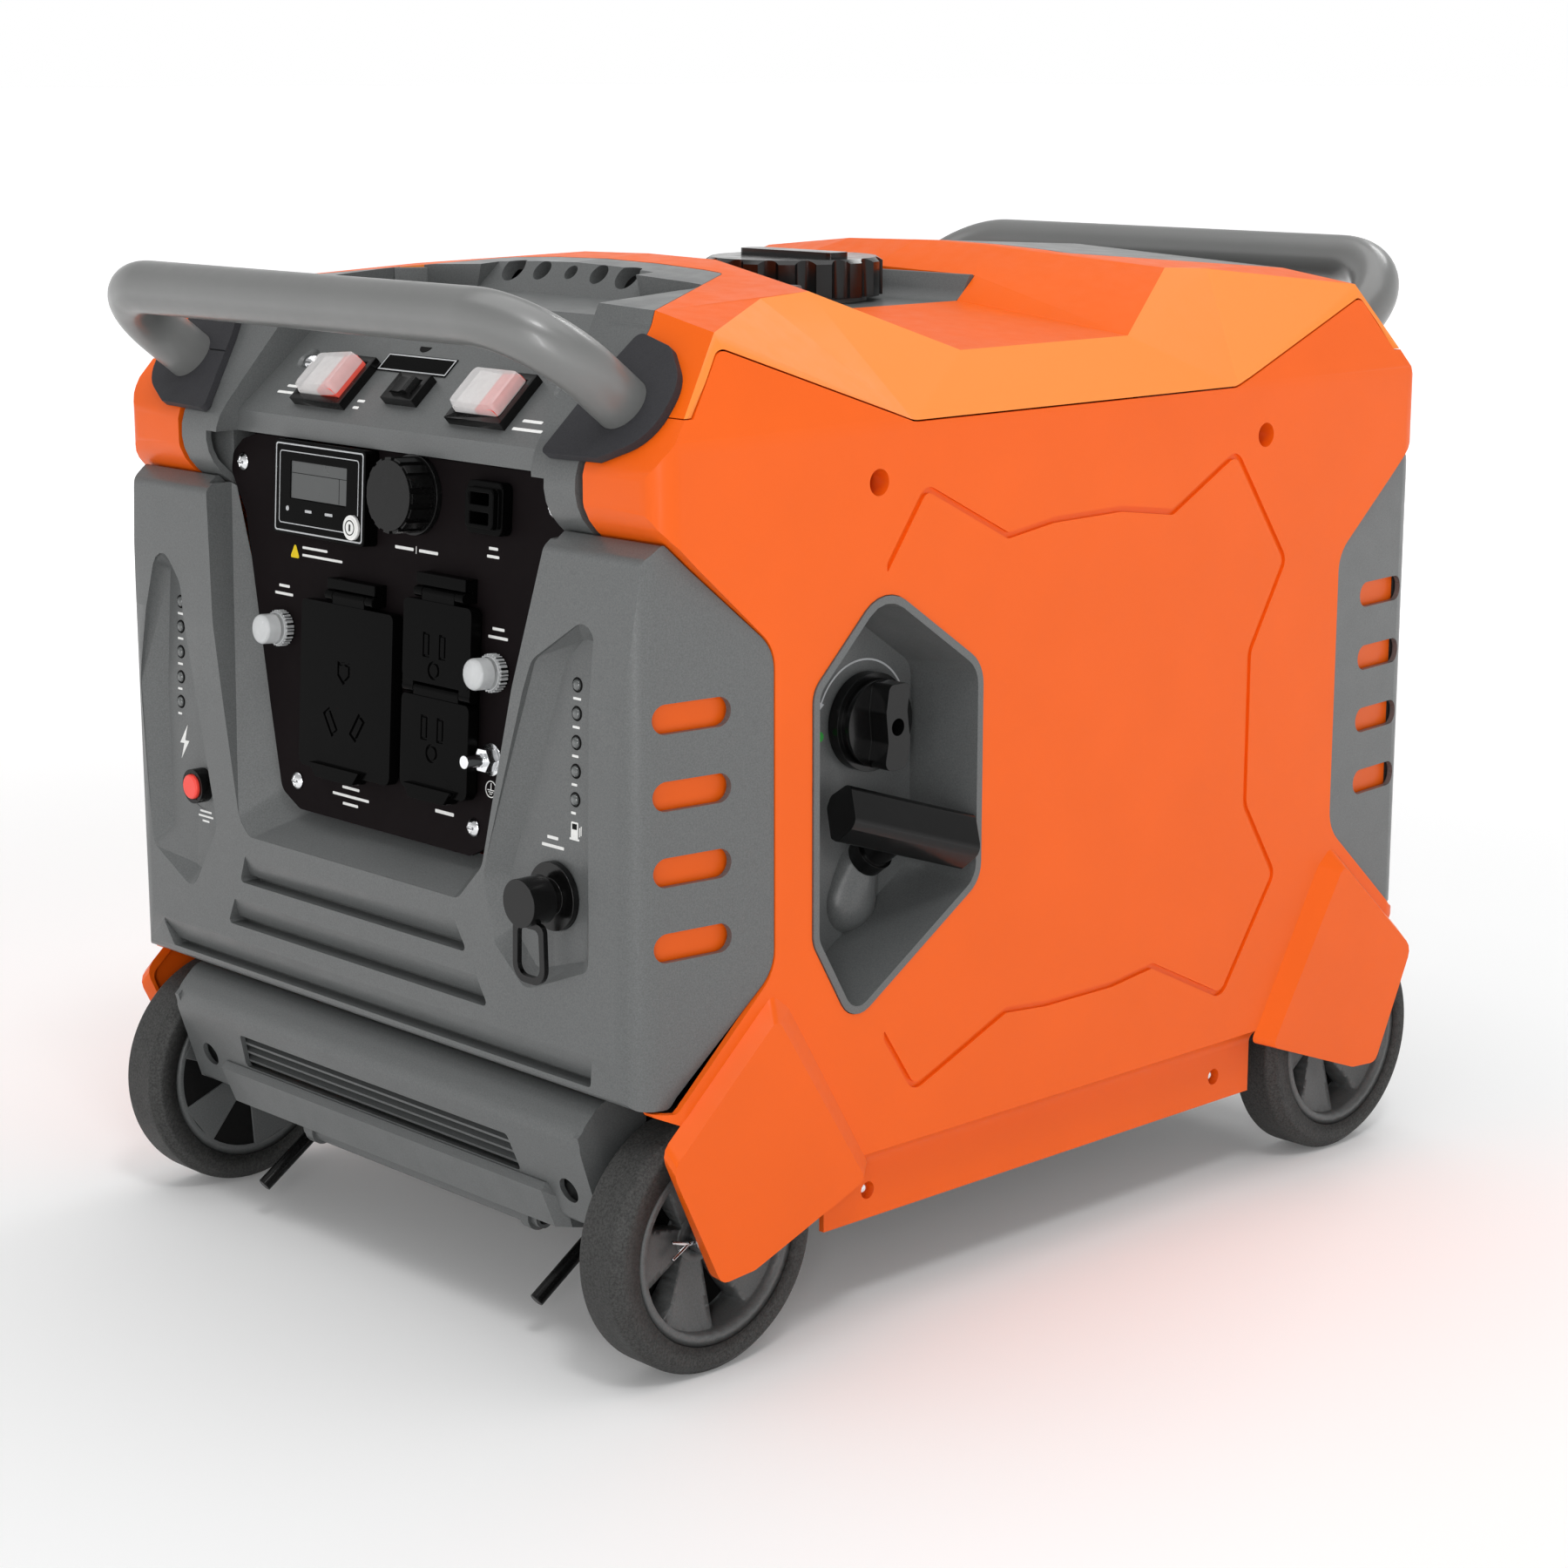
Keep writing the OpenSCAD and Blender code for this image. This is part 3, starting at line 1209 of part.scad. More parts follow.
module duplex_cover_upper() color(near_black) on_panel() {
    x0 = duplex_at[0];
    difference() {
        union() {
            flap(x0, duplex_fold + 3.2, x0 + duplex_w, duplex_top);
            hinge_leaf(duplex_hinge[0], duplex_hinge[1], duplex_hinge[2]);
            // knuckles for the lower flap
            for (x = [x0, x0 + duplex_w - 8]) translate([x, duplex_fold, hinge_w]) rotate([0, 90, 0]) cylinder(h = 8, r = 2.5);
            for (x = [x0, x0 + duplex_w - 8]) translate([x, duplex_fold, flap_low + 0.7]) cube([8, 5, 4.6]);
            translate([x0, duplex_fold, hinge_w]) rotate([0, 90, 0]) cylinder(h = duplex_w, r = hinge_pin_r);
        }
        blade_marks(108.7);
    }
}
module duplex_cover_lower() color(near_black) on_panel() {
    x0 = duplex_at[0];
    difference() {
        union() {
            flap(x0, duplex_at[1], x0 + duplex_w, duplex_fold - 3);
            translate([x0 + 8.3, duplex_fold, hinge_w]) rotate([0, 90, 0]) cylinder(h = duplex_w - 16.6, r = 2.5);
            translate([x0 + 8.3, duplex_fold - 5, flap_low + 0.7]) cube([duplex_w - 16.6, 5, 4.6]);
            translate([0, 0, 3.2]) linear_extrude(8) polygon(rounded([[x0 + 10, duplex_at[1] - 3.5, 2], [x0 + 36, duplex_at[1] - 3.5, 2], [x0 + 41, duplex_at[1] + 3, 0], [x0 + 6, duplex_at[1] + 3, 0]], 3));
        }
        blade_marks(70.8);
        translate([x0 - 1, duplex_fold, hinge_w]) rotate([0, 90, 0]) cylinder(h = duplex_w + 2, r = hinge_pin_r + 0.05);
    }
}

module parallel_socket() color("#151515") on_panel() translate([parallel_at[0], parallel_at[1], 0]) {
    difference() {
        union() {
            cylinder(h = 3, r = 18.5);
            translate([0, 0, -20]) cylinder(h = 21, r = 13.8);
            cylinder(h = 12, r = 11);
        }
        for (a = [90, 210, 330]) rotate([0, 0, a]) translate([5.5, 0, 2]) cylinder(h = 20, r = 2);
    }
}
module parallel_cap() color(near_black) on_panel() translate([parallel_at[0], parallel_at[1], 3.3]) {
    difference() {
        union() {
            cylinder(h = 13.2, r = 16);
            translate([0, 0, 1]) cylinder(h = 11, r = 14.6);
            for (a = [0 : 24 : 359]) rotate([0, 0, a]) translate([12, -2.2, 0]) cube([5.2, 4.4, 12.4]);
        }
        translate([0, 0, -1]) cylinder(h = 10.5, r = 11.4);
    }
}

nut_t = 4;
module reset_cap(s) {
    low = nut_t + button_travel + 0.4;
    on_panel() translate([s * reset_x, reset_v, 0]) {
        translate([0, 0, low]) cylinder(h = 6.2, r = 7.2);
        translate([0, 0, low + 6.1]) cylinder(h = 1.5, r1 = 7.2, r2 = 5.8);
        translate([0, 0, -8]) cylinder(h = low + 9, r = 3);
    }
}
module left_reset_cap() color("#dfe3e4") reset_cap(-1);
module right_reset_cap() color("#dfe3e4") reset_cap(1);

module main_reset_button() color("#e23a2e") {
    on_tray(reset_at[0], reset_at[1]) {
        translate([0, 0, -8]) cylinder(h = 16.4, r = 6.2);
    }
}

module ground_terminal() color(steel) on_panel() translate([ground_at[0], ground_at[1], 0]) {
    translate([0, 0, -10]) cylinder(h = 26, r = 3);
    cylinder(h = 1, r = 7.5);
    translate([0, 0, 1]) cylinder(h = 5, r = 5.8, $fn = 6);
}

module lp_inlet() color("#2a2b2c") on_tray(lp_at[0], lp_at[1]) {
    difference() {
        union() {
            cylinder(h = 3.5, r = 15.5);
            translate([0, 0, 3.4]) cylinder(h = 14, r = 8);
            translate([0, 0, -22]) cylinder(h = 23, r = 10);
        }
        translate([0, 0, -25]) cylinder(h = 50, r = 4.5);
    }
}
module lp_cap() color(near_black) on_tray(lp_at[0], lp_at[1]) {
    difference() {
        union() {
            translate([0, 0, 8.5]) cylinder(h = 13, r = 10.8);
            // strap that hangs in a long keyhole loop
            translate([0, 0, 14]) linear_extrude(2.6) difference() {
                polygon(rounded([[-11.2, -37, 8], [11.2, -37, 8], [10.4, -9, 4], [-10.4, -9, 4]], 6));
                polygon(rounded([[-7.8, -33.6, 5], [7.8, -33.6, 5], [7, -12, 3], [-7, -12, 3]], 6));
            }
        }
        translate([0, 0, 8]) cylinder(h = 10, r = 8.4);
    }
}

// ---------------------------------------------------------------- switches

rocker_x = 59.5;
rocker_u = 22.5;
eco_x = -2.7;
// Height of the rockers' pins over the switch face.
pivot_w = -1;
module bezel(x, w, h, deep) {
    translate([x, rocker_u, 0]) difference() {
        union() {
            translate([-w / 2, -h / 2, 0]) cube([w, h, 4.5]);
            translate([-w / 2 + 2.2, -h / 2 + 2.2, -deep]) cube([w - 4.4, h - 4.4, deep + 1]);
        }
        translate([-w / 2 + 3.4, -h / 2 + 3.4, -deep + 2]) cube([w - 6.8, h - 6.8, deep + 10]);
        translate([0, 0, pivot_w]) rotate([90, 0, 0]) cylinder(h = h, r = 1.25, center = true);
    }
}
module switch_bezels() color(near_black) {
    on_switches() {
        for (s = [-1, 1]) bezel(s * rocker_x, 39.6, 30, 20);
        bezel(eco_x, 23.6, 16.4, 16);
    }
    // knurled nuts of the two breakers
    on_panel() for (s = [-1, 1]) translate([s * reset_x, reset_v, 0]) difference() {
        union() {
            cylinder(h = 4, r = 7.9);
            for (a = [0 : 20 : 359]) rotate([0, 0, a]) translate([7.4, -0.8, 0]) cube([1, 1.6, 4]);
            translate([0, 0, -20]) cylinder(h = 21, r = 6.3);
        }
        translate([0, 0, -21]) cylinder(h = 40, r = 3.06);
        translate([0, 0, -21]) cylinder(h = 12, r = 5);
    }
    // ring of the main reset button
    on_tray(reset_at[0], reset_at[1]) difference() {
        union() {
            cylinder(h = 6.5, r = 8.6);
            translate([0, 0, -14]) cylinder(h = 15, r = 8.2);
        }
        translate([0, 0, -12]) cylinder(h = 30, r = 6.5);
    }
}
// Rocker whose two faces meet in a shallow valley; it rocks about a pin along the slope.
module rocker(x, w, h, high, tilt) {
    on_switches() translate([x, rocker_u, pivot_w]) rotate([0, tilt, 0]) rotate([90, 0, 0]) {
        translate([0, 0, -h / 2]) linear_extrude(h) polygon(rounded([
            [-w * 0.3, -3, 1], [w * 0.3, -3, 1], [w / 2, 2, 1], [w / 2 - 1, high, 1.5],
            [0, high - 1.4, 0], [-w / 2 + 1, high, 1.5], [-w / 2, 2, 1]
        ], 3));
        cylinder(h = h + 3, r = 1.2, center = true);
    }
}
rocker_tilt = 7;
module engine_rocker() color("#e2574c") rocker(-rocker_x, 31, 22, 9.5, -rocker_tilt);
module start_rocker() color("#e2574c") rocker(rocker_x, 31, 22, 9.5, 0);
module eco_rocker() color("#101011") rocker(eco_x, 14.8, 9, 8, -rocker_tilt);

// ---------------------------------------------------------------- fasteners

module pan_screw(r, h) {
    intersection() {
        cylinder(h = h, r = r);
        translate([0, 0, h - (r * r + h * h) / (2 * h)]) sphere(r = (r * r + h * h) / (2 * h), $fn = 48);
    }
}
module fasteners() color(steel) {
    on_panel() for (p = panel_screws) translate([p[0], p[1], 0]) difference() {
        union() {
            pan_screw(4.6, 2.6);
            translate([0, 0, -10]) cylinder(h = 11, r = 1.95);
        }
        for (a = [0, 90]) rotate([0, 0, a]) translate([-2.4, -0.5, 1.4]) cube([4.8, 1, 3]);
    }
    on_switches() for (s = [-1, 1]) translate([s * 97, 36, -1.5]) pan_screw(4.4, 2.4);
    for (s = [-1, 1], e = [-1, 1]) {
        translate([s * (half_w - 12), e * screw_high[0], screw_high[1]]) rotate([0, s * 90, 0]) {
            pan_screw(5.4, 2.4);
            translate([0, 0, -7]) cylinder(h = 8, r = 2.5);
        }
        translate([s * (half_w - skirt_in - 4), e * screw_low[0], screw_low[1]]) rotate([0, s * 90, 0]) {
            pan_screw(3.8, 2);
            translate([0, 0, -8]) cylinder(h = 9, r = 2);
        }
        // split pins through the axle ends
        translate([s * (wheel_x + pin_x), e * wheel_y, tyre_r]) {
            rotate([90, 0, 0]) cylinder(h = 16.2, r = 1.4, center = true);
            translate([0, 9.7, 0]) rotate([0, 90, 0]) difference() {
                cylinder(h = 2.4, r = 3.4, center = true);
                cylinder(h = 4, r = 1.6, center = true);
            }
            // legs bent apart
            translate([0, -7.6, 0]) for (q = [-1, 1]) rotate([90 + q * 18, 0, s * 12]) cylinder(h = 13, r = 0.9);
        }
    }
    for (e = [-1, 1]) translate([-half_w + 2, e * 105, 247]) rotate([0, -90, 0]) pan_screw(4, 1.8);
}

base_tray();
end_shields();
axles();
tie_down_pegs();
right_side_shell();
left_side_shell();
service_door();
top_cover();
front_cover();
rear_cover();
front_console();
rear_console();
control_panel();
front_handle();
rear_handle();
handle_mounts();
starter_pocket();
fuel_tank();
filler_tray();
engine_block();
stator();
recoil_housing();
air_filter();
muffler();
inverter_module();
battery();
display_unit();
usb_socket();
rv_outlet();
duplex_outlet();
parallel_socket();
ground_terminal();
lp_inlet();
switch_bezels();
fasteners();
front_right_tyre();
front_left_tyre();
rear_right_tyre();
rear_left_tyre();
front_right_hub();
front_left_hub();
rear_right_hub();
rear_left_hub();
crankshaft();
fuel_cap();
starter_grip();
starter_rope();
fuel_selector_knob();
engine_rocker();
start_rocker();
eco_rocker();
main_reset_button();
left_reset_cap();
right_reset_cap();
mode_button();
rv_outlet_cover();
duplex_cover_upper();
duplex_cover_lower();
parallel_cap();
lp_cap();
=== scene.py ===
"""Portable inverter generator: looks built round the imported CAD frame, in metres."""

import math

import bmesh
import bpy
from mathutils import Matrix, Vector
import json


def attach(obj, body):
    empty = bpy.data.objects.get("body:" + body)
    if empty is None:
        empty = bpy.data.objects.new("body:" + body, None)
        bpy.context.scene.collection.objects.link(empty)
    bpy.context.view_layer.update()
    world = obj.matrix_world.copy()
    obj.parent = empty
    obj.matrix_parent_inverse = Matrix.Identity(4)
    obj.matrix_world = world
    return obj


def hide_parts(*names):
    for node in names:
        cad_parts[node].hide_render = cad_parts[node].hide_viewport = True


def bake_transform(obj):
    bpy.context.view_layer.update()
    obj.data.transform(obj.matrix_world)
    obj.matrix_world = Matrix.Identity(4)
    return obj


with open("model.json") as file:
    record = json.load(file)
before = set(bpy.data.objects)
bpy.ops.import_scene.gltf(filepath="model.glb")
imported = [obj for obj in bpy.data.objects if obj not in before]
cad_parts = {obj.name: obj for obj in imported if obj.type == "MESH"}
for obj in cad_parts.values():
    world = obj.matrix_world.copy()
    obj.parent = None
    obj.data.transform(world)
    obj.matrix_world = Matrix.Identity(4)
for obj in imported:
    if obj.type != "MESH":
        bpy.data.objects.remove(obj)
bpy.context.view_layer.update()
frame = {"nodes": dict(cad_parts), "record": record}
nodes = frame["nodes"]
MM = 0.001

# ------------------------------------------------------------------ camera and stage

AZIMUTH = math.radians(46.5)
ELEVATION = math.radians(12.492)
LENS = 74.956
CAMERA_AT = Vector((1.20567, -1.14580, 0.57207))
BACK = Vector((
    math.sin(AZIMUTH) * math.cos(ELEVATION),
    -math.cos(AZIMUTH) * math.cos(ELEVATION),
    math.sin(ELEVATION),
))


def add_camera():
    data = bpy.data.cameras.new("camera")
    data.sensor_width = 36
    data.lens = LENS
    camera = bpy.data.objects.new("camera", data)
    camera.location = CAMERA_AT
    camera.rotation_euler = (-BACK).to_track_quat("-Z", "Y").to_euler()
    bpy.context.scene.collection.objects.link(camera)
    bpy.context.scene.camera = camera


def area_light(name, at, aim, width, height, watts):
    data = bpy.data.lights.new(name, "AREA")
    data.shape = "RECTANGLE"
    data.size = width
    data.size_y = height
    data.energy = watts
    lamp = bpy.data.objects.new(name, data)
    lamp.location = at
    lamp.rotation_euler = (Vector(aim) - Vector(at)).to_track_quat("-Z", "Y").to_euler()
    bpy.context.scene.collection.objects.link(lamp)


# ------------------------------------------------------------------ materials

def srgb(r, g, b):
    """Linear colour of an 8-bit display colour."""
    def channel(v):
        v /= 255
        return v / 12.92 if v <= 0.04045 else ((v + 0.055) / 1.055) ** 2.4
    return (channel(r), channel(g), channel(b), 1.0)


COAT_ROUGHNESS = 0.1


class Surface:
    """A procedural material: colour, roughness and bump from noise in the object's own space."""

    def __init__(self, name, colour, roughness, metallic=0.0, specular=0.5, coat=0.0):
        self.material = bpy.data.materials.new(name)
        self.material.use_nodes = True
        tree = self.material.node_tree
        self.nodes, self.links = tree.nodes, tree.links
        self.shader = self.nodes["Principled BSDF"]
        self.set("Base Color", colour)
        self.set("Roughness", roughness)
        self.set("Metallic", metallic)
        self.set("Specular IOR Level", specular)
        self.set("Coat Weight", coat)
        self.set("Coat Roughness", COAT_ROUGHNESS)
        self.coordinates = self.nodes.new("ShaderNodeTexCoord")
        self.normal = None

    def set(self, socket, value):
        self.shader.inputs[socket].default_value = value

    def noise(self, size_mm, detail=2.0, rough=0.5):
        """Noise whose features are about size_mm wide."""
        node = self.nodes.new("ShaderNodeTexNoise")
        node.inputs["Scale"].default_value = 1000 / size_mm
        node.inputs["Detail"].default_value = detail
        node.inputs["Roughness"].default_value = rough
        self.links.new(self.coordinates.outputs["Object"], node.inputs["Vector"])
        return node.outputs["Fac"]

    def ramp(self, value, low, high, out_low, out_high, smooth=False):
        """Maps low..high of a value to out_low..out_high."""
        node = self.nodes.new("ShaderNodeMapRange")
        if smooth:
            node.interpolation_type = "SMOOTHSTEP"
        node.inputs["From Min"].default_value = low
        node.inputs["From Max"].default_value = high
        node.inputs["To Min"].default_value = out_low
        node.inputs["To Max"].default_value = out_high
        self.links.new(value, node.inputs["Value"])
        return node.outputs["Result"]

    def along(self, output, direction, low, high):
        """0 to 1 as a vector output goes from low to high along direction."""
        dot = self.nodes.new("ShaderNodeVectorMath")
        dot.operation = "DOT_PRODUCT"
        self.links.new(self.coordinates.outputs[output], dot.inputs[0])
        dot.inputs[1].default_value = direction
        return self.ramp(dot.outputs["Value"], low, high, 0.0, 1.0, smooth=True)

    def mix(self, factor, first, second):
        """Mixes two colours, each a tuple or another node's output."""
        node = self.nodes.new("ShaderNodeMix")
        node.data_type = "RGBA"
        self.links.new(factor, node.inputs["Factor"])
        for socket, value in (("A", first), ("B", second)):
            target = [i for i in node.inputs if i.name == socket and i.type == "RGBA"][0]
            if isinstance(value, tuple):
                target.default_value = value
            else:
                self.links.new(value, target)
        return [o for o in node.outputs if o.type == "RGBA"][0]

    def tone(self, factor, first, second):
        """Base colour between first and second."""
        self.colour_out = self.mix(factor, first, second)
        self.links.new(self.colour_out, self.shader.inputs["Base Color"])

    def roughen(self, value):
        self.links.new(value, self.shader.inputs["Roughness"])

    def bump(self, value, depth_mm):
        node = self.nodes.new("ShaderNodeBump")
        node.inputs["Strength"].default_value = 1.0
        node.inputs["Distance"].default_value = depth_mm * MM
        self.links.new(value, node.inputs["Height"])
        if self.normal is not None:
            self.links.new(self.normal, node.inputs["Normal"])
        self.normal = node.outputs["Normal"]
        self.links.new(self.normal, self.shader.inputs["Normal"])


def scaled(colour, factor):
    """Colour made lighter or darker by a factor."""
    return tuple(min(1.0, c * factor) for c in colour[:3]) + (1.0,)


def moulded(name, colour, roughness, grain_mm, grain_depth, specular=0.5, coat=0.0, spread=0.06,
            painted_lit_colour=None):
    """Moulded plastic: faint cloudy tone, a fine grain, and roughness that varies a little.

    Where a lighter colour is given, the facets that face +X are painted in it: a painted highlight
    standing for the stronger lamps on that side.
    """
    s = Surface(name, colour, roughness, specular=specular, coat=coat)
    cloud = s.ramp(s.noise(70, 3), 0.35, 0.65, 0.0, 1.0)
    s.tone(cloud, scaled(colour, 1 - spread), scaled(colour, 1 + spread))
    # painted highlight: facets that face +X get the lighter colour
    if painted_lit_colour:
        lit = s.along("Normal", (1, 0, 0), 0.3, 0.5)
        s.tone(lit, s.colour_out, painted_lit_colour)
    s.roughen(s.ramp(s.noise(9, 4), 0.3, 0.7, roughness - 0.04, roughness + 0.05))
    s.bump(s.noise(grain_mm, 2), grain_depth)
    return s.material


def speckled(name, colour, roughness, grain_mm, contrast, depth, specular=0.5, metallic=0.0):
    """Textured plastic, paint or rubber with light and dark speckles."""
    s = Surface(name, colour, roughness, specular=specular, metallic=metallic)
    grain = s.noise(grain_mm, 3, 0.65)
    s.tone(s.ramp(grain, 0.35, 0.65, 0.0, 1.0), scaled(colour, 1 - contrast),
           scaled(colour, 1 + contrast))
    s.roughen(s.ramp(s.noise(14, 4), 0.3, 0.7, roughness - 0.05, roughness + 0.06))
    s.bump(grain, depth)
    return s.material


def metal(name, colour, roughness, scratch_mm=0.8, depth=0.01):
    """Bare metal with uneven tone and fine scratches."""
    s = Surface(name, colour, roughness, metallic=1.0)
    s.tone(s.ramp(s.noise(12, 4), 0.3, 0.7, 0.0, 1.0), scaled(colour, 0.82), scaled(colour, 1.1))
    s.roughen(s.ramp(s.noise(3, 5, 0.7), 0.3, 0.7, roughness * 0.7, roughness * 1.35))
    s.bump(s.noise(scratch_mm, 3), depth)
    return s.material


def printed(name, colour):
    """Screen print, a little uneven."""
    s = Surface(name, colour, 0.6, specular=0.2)
    s.tone(s.ramp(s.noise(1.5, 3), 0.35, 0.65, 0.0, 1.0), scaled(colour, 0.92), colour)
    s.bump(s.noise(0.6, 2), 0.004)
    return s.material


def clear(name, tint, alpha, roughness):
    """Clear or frosted moulding, with faint clouding."""
    s = Surface(name, tint, roughness, specular=0.6)
    s.tone(s.ramp(s.noise(4, 3), 0.3, 0.7, 0.0, 1.0), scaled(tint, 0.92), tint)
    s.roughen(s.ramp(s.noise(6, 3), 0.3, 0.7, roughness * 0.8, roughness * 1.3))
    s.set("Alpha", alpha)
    return s.material


def red_with_painted_reflection(name, left, right, at_x, roughness):
    """Rocker in red, near-white on its -X side, the two meeting at its valley; the near-white is a
    painted reflection of the clear boot's sheen.
    """
    s = Surface(name, right, roughness)
    cloud = s.ramp(s.noise(3, 3), 0.3, 0.7, 0.0, 1.0)
    # painted reflection: the -X side of the valley is near-white
    side = s.along("Object", (1000, 0, 0), at_x - 0.4, at_x + 0.4)
    s.tone(side, s.mix(cloud, scaled(left, 0.9), left), s.mix(cloud, scaled(right, 0.92), right))
    s.bump(s.noise(0.7, 2), 0.01)
    return s.material


materials = {
    "orange_shell": moulded("orange_shell", srgb(236, 96, 16), 0.34, 0.6, 0.005, specular=0.22,
                            spread=0.02),
    # the top's facets that face +X are painted lighter: a painted highlight
    "orange_top": moulded("orange_top", srgb(236, 98, 14), 0.42, 0.6, 0.005, specular=0.1,
                          spread=0.02, painted_lit_colour=srgb(240, 138, 62)),
    "gray_plastic": speckled("gray_plastic", srgb(93, 95, 95), 0.33, 0.7, 0.16, 0.01, specular=0.5),
    "black_panel": moulded("black_panel", srgb(24, 20, 21), 0.6, 0.8, 0.003, specular=0.02),
    "black_plastic": speckled("black_plastic", srgb(14, 14, 14), 0.24, 1.0, 0.35, 0.015,
                              specular=0.2),
    "handle_tube": moulded("handle_tube", srgb(106, 107, 106), 0.34, 0.7, 0.0005, specular=0.9,
                           coat=0.15, spread=0.03),
    "plate_black": speckled("plate_black", srgb(51, 51, 54), 0.6, 0.8, 0.12, 0.02, specular=0.2),
    "steel": metal("steel", srgb(180, 182, 184), 0.32),
    "chrome_screw": metal("chrome_screw", srgb(235, 236, 238), 0.16, 1.5, 0.002),
    "frame_paint": speckled("frame_paint", srgb(91, 93, 93), 0.33, 0.7, 0.14, 0.01, specular=0.5),
    "tyre_rubber": speckled("tyre_rubber", srgb(54, 54, 53), 0.6, 1.1, 0.45, 0.16, specular=0.35),
    "hub_plastic": speckled("hub_plastic", srgb(84, 86, 86), 0.42, 0.9, 0.14, 0.03),
    "cast_alloy": metal("cast_alloy", srgb(150, 152, 154), 0.5, 1.2, 0.05),
    "copper_core": metal("copper_core", srgb(150, 84, 48), 0.45, 1.0, 0.03),
    "clear_cap": clear("clear_cap", srgb(226, 228, 229), 0.62, 0.22),
    # near-white -X side of this rocker is a painted reflection of the boot's sheen
    "rocker_red": red_with_painted_reflection("rocker_red", srgb(226, 222, 220), srgb(236, 84, 68), 0, 0.35),
    "red_button": moulded("red_button", srgb(244, 70, 58), 0.32, 0.8, 0.01),
    "white_button": moulded("white_button", srgb(238, 238, 236), 0.35, 0.8, 0.004),
    "rope_white": moulded("rope_white", srgb(222, 222, 216), 0.7, 0.8, 0.05),
    "satin_black": moulded("satin_black", srgb(5, 5, 5), 0.2, 0.9, 0.004, specular=0.03),
    "gloss_black": moulded("gloss_black", srgb(11, 11, 11), 0.18, 0.9, 0.006, specular=0.35),
    # Near-black for printed marks, and for pieces that are painted shade: rings round the lenses,
    # the drain notch and the rings behind the wheels' blades.
    "gap_black": speckled("gap_black", srgb(12, 12, 12), 0.7, 1.2, 0.2, 0.03, specular=0.15),
    "print_white": printed("print_white", srgb(240, 240, 238)),
    "print_green": printed("print_green", srgb(60, 160, 70)),
    "print_yellow": printed("print_yellow", srgb(236, 205, 30)),
    "print_silver": printed("print_silver", srgb(190, 192, 194)),
    "screen_gray": moulded("screen_gray", srgb(74, 76, 76), 0.3, 0.8, 0.002, specular=0.4,
                           spread=0.03),
    "led_lens": moulded("led_lens", srgb(92, 95, 95), 0.12, 0.8, 0.002, specular=0.8, coat=0.6),
    "boot_clear": clear("boot_clear", srgb(240, 238, 238), 0.5, 0.16),
}


def paint(obj, material):
    obj.data.materials.clear()
    obj.data.materials.append(material)
    if obj.type == "MESH":
        for polygon in obj.data.polygons:
            polygon.material_index = 0


# ------------------------------------------------------------------ softened CAD nodes

BEVEL_SEGMENTS = 3
BEVEL_ANGLE = 28


def soften(name, width_mm):
    """Rounds a CAD node's edges with modifiers only; its mesh and place stay as they are."""
    obj = nodes[name]
    weld = obj.modifiers.new("weld", "WELD")
    weld.merge_threshold = 0.00001
    if width_mm:
        flat = obj.modifiers.new("flat", "DECIMATE")
        flat.decimate_type = "DISSOLVE"
        flat.angle_limit = math.radians(1.2)
        bevel = obj.modifiers.new("bevel", "BEVEL")
        bevel.width = width_mm * MM
        bevel.segments = BEVEL_SEGMENTS
        bevel.limit_method = "ANGLE"
        bevel.angle_limit = math.radians(BEVEL_ANGLE)
        bevel.miter_outer = "MITER_ARC"
        bevel.harden_normals = True
    normals = obj.modifiers.new("normals", "WEIGHTED_NORMAL")
    normals.keep_sharp = True
    normals.weight = 90
    obj.data.shade_smooth()


# Width of each node's rounded edges; nodes that aren't listed keep theirs sharp.
EDGE_MM = {
    "right_side_shell": 1.2, "left_side_shell": 1.2, "service_door": 0.5, "top_cover": 2.5,
    "front_cover": 2.2, "rear_cover": 1.0, "front_console": 2.5, "rear_console": 2.0,
    "control_panel": 0.3, "handle_mounts": 0.8, "starter_pocket": 1.8, "filler_tray": 1.0,
    "base_tray": 0.6, "end_shields": 1.2, "switch_bezels": 0.5, "fuel_cap": 1.4,
    "fuel_selector_knob": 1.2, "starter_grip": 1.5, "display_unit": 0.5, "usb_socket": 0.6,
    "rv_outlet_cover": 0.8, "duplex_cover_upper": 0.7, "duplex_cover_lower": 0.7, "rv_outlet": 0.8,
    "duplex_outlet": 0.8, "parallel_cap": 0.6, "parallel_socket": 0.4, "lp_cap": 0.5,
    "lp_inlet": 0.4, "engine_rocker": 0.6, "start_rocker": 0.6, "eco_rocker": 0.8,
    "main_reset_button": 1.2, "left_reset_cap": 0.8, "right_reset_cap": 0.8, "mode_button": 0.4,
    "ground_terminal": 0.3,
}
# Nodes whose finish differs from that of their material slot.
PAINTED = {
    "handle_mounts": "plate_black",
    **dict.fromkeys(
        ("starter_grip", "fuel_selector_knob", "fuel_cap", "lp_cap", "lp_inlet"), "gloss_black"),
    **dict.fromkeys(
        ("rv_outlet_cover", "duplex_cover_upper", "duplex_cover_lower", "rv_outlet",
         "duplex_outlet", "display_unit", "usb_socket"), "satin_black"),
}
# Where the two tall rockers' pins lie on the switch face: across it, up it and over it.
ROCKER_X, ROCKER_ROW, ROCKER_PIN = 59.5, 22.5, -1

slots = {part["node"]: part["material_slot"] for part in frame["record"]["subparts"]}
for node_name, node in nodes.items():
    paint(node, materials[PAINTED.get(node_name, slots[node_name])])
    soften(node_name, EDGE_MM.get(node_name, 0))
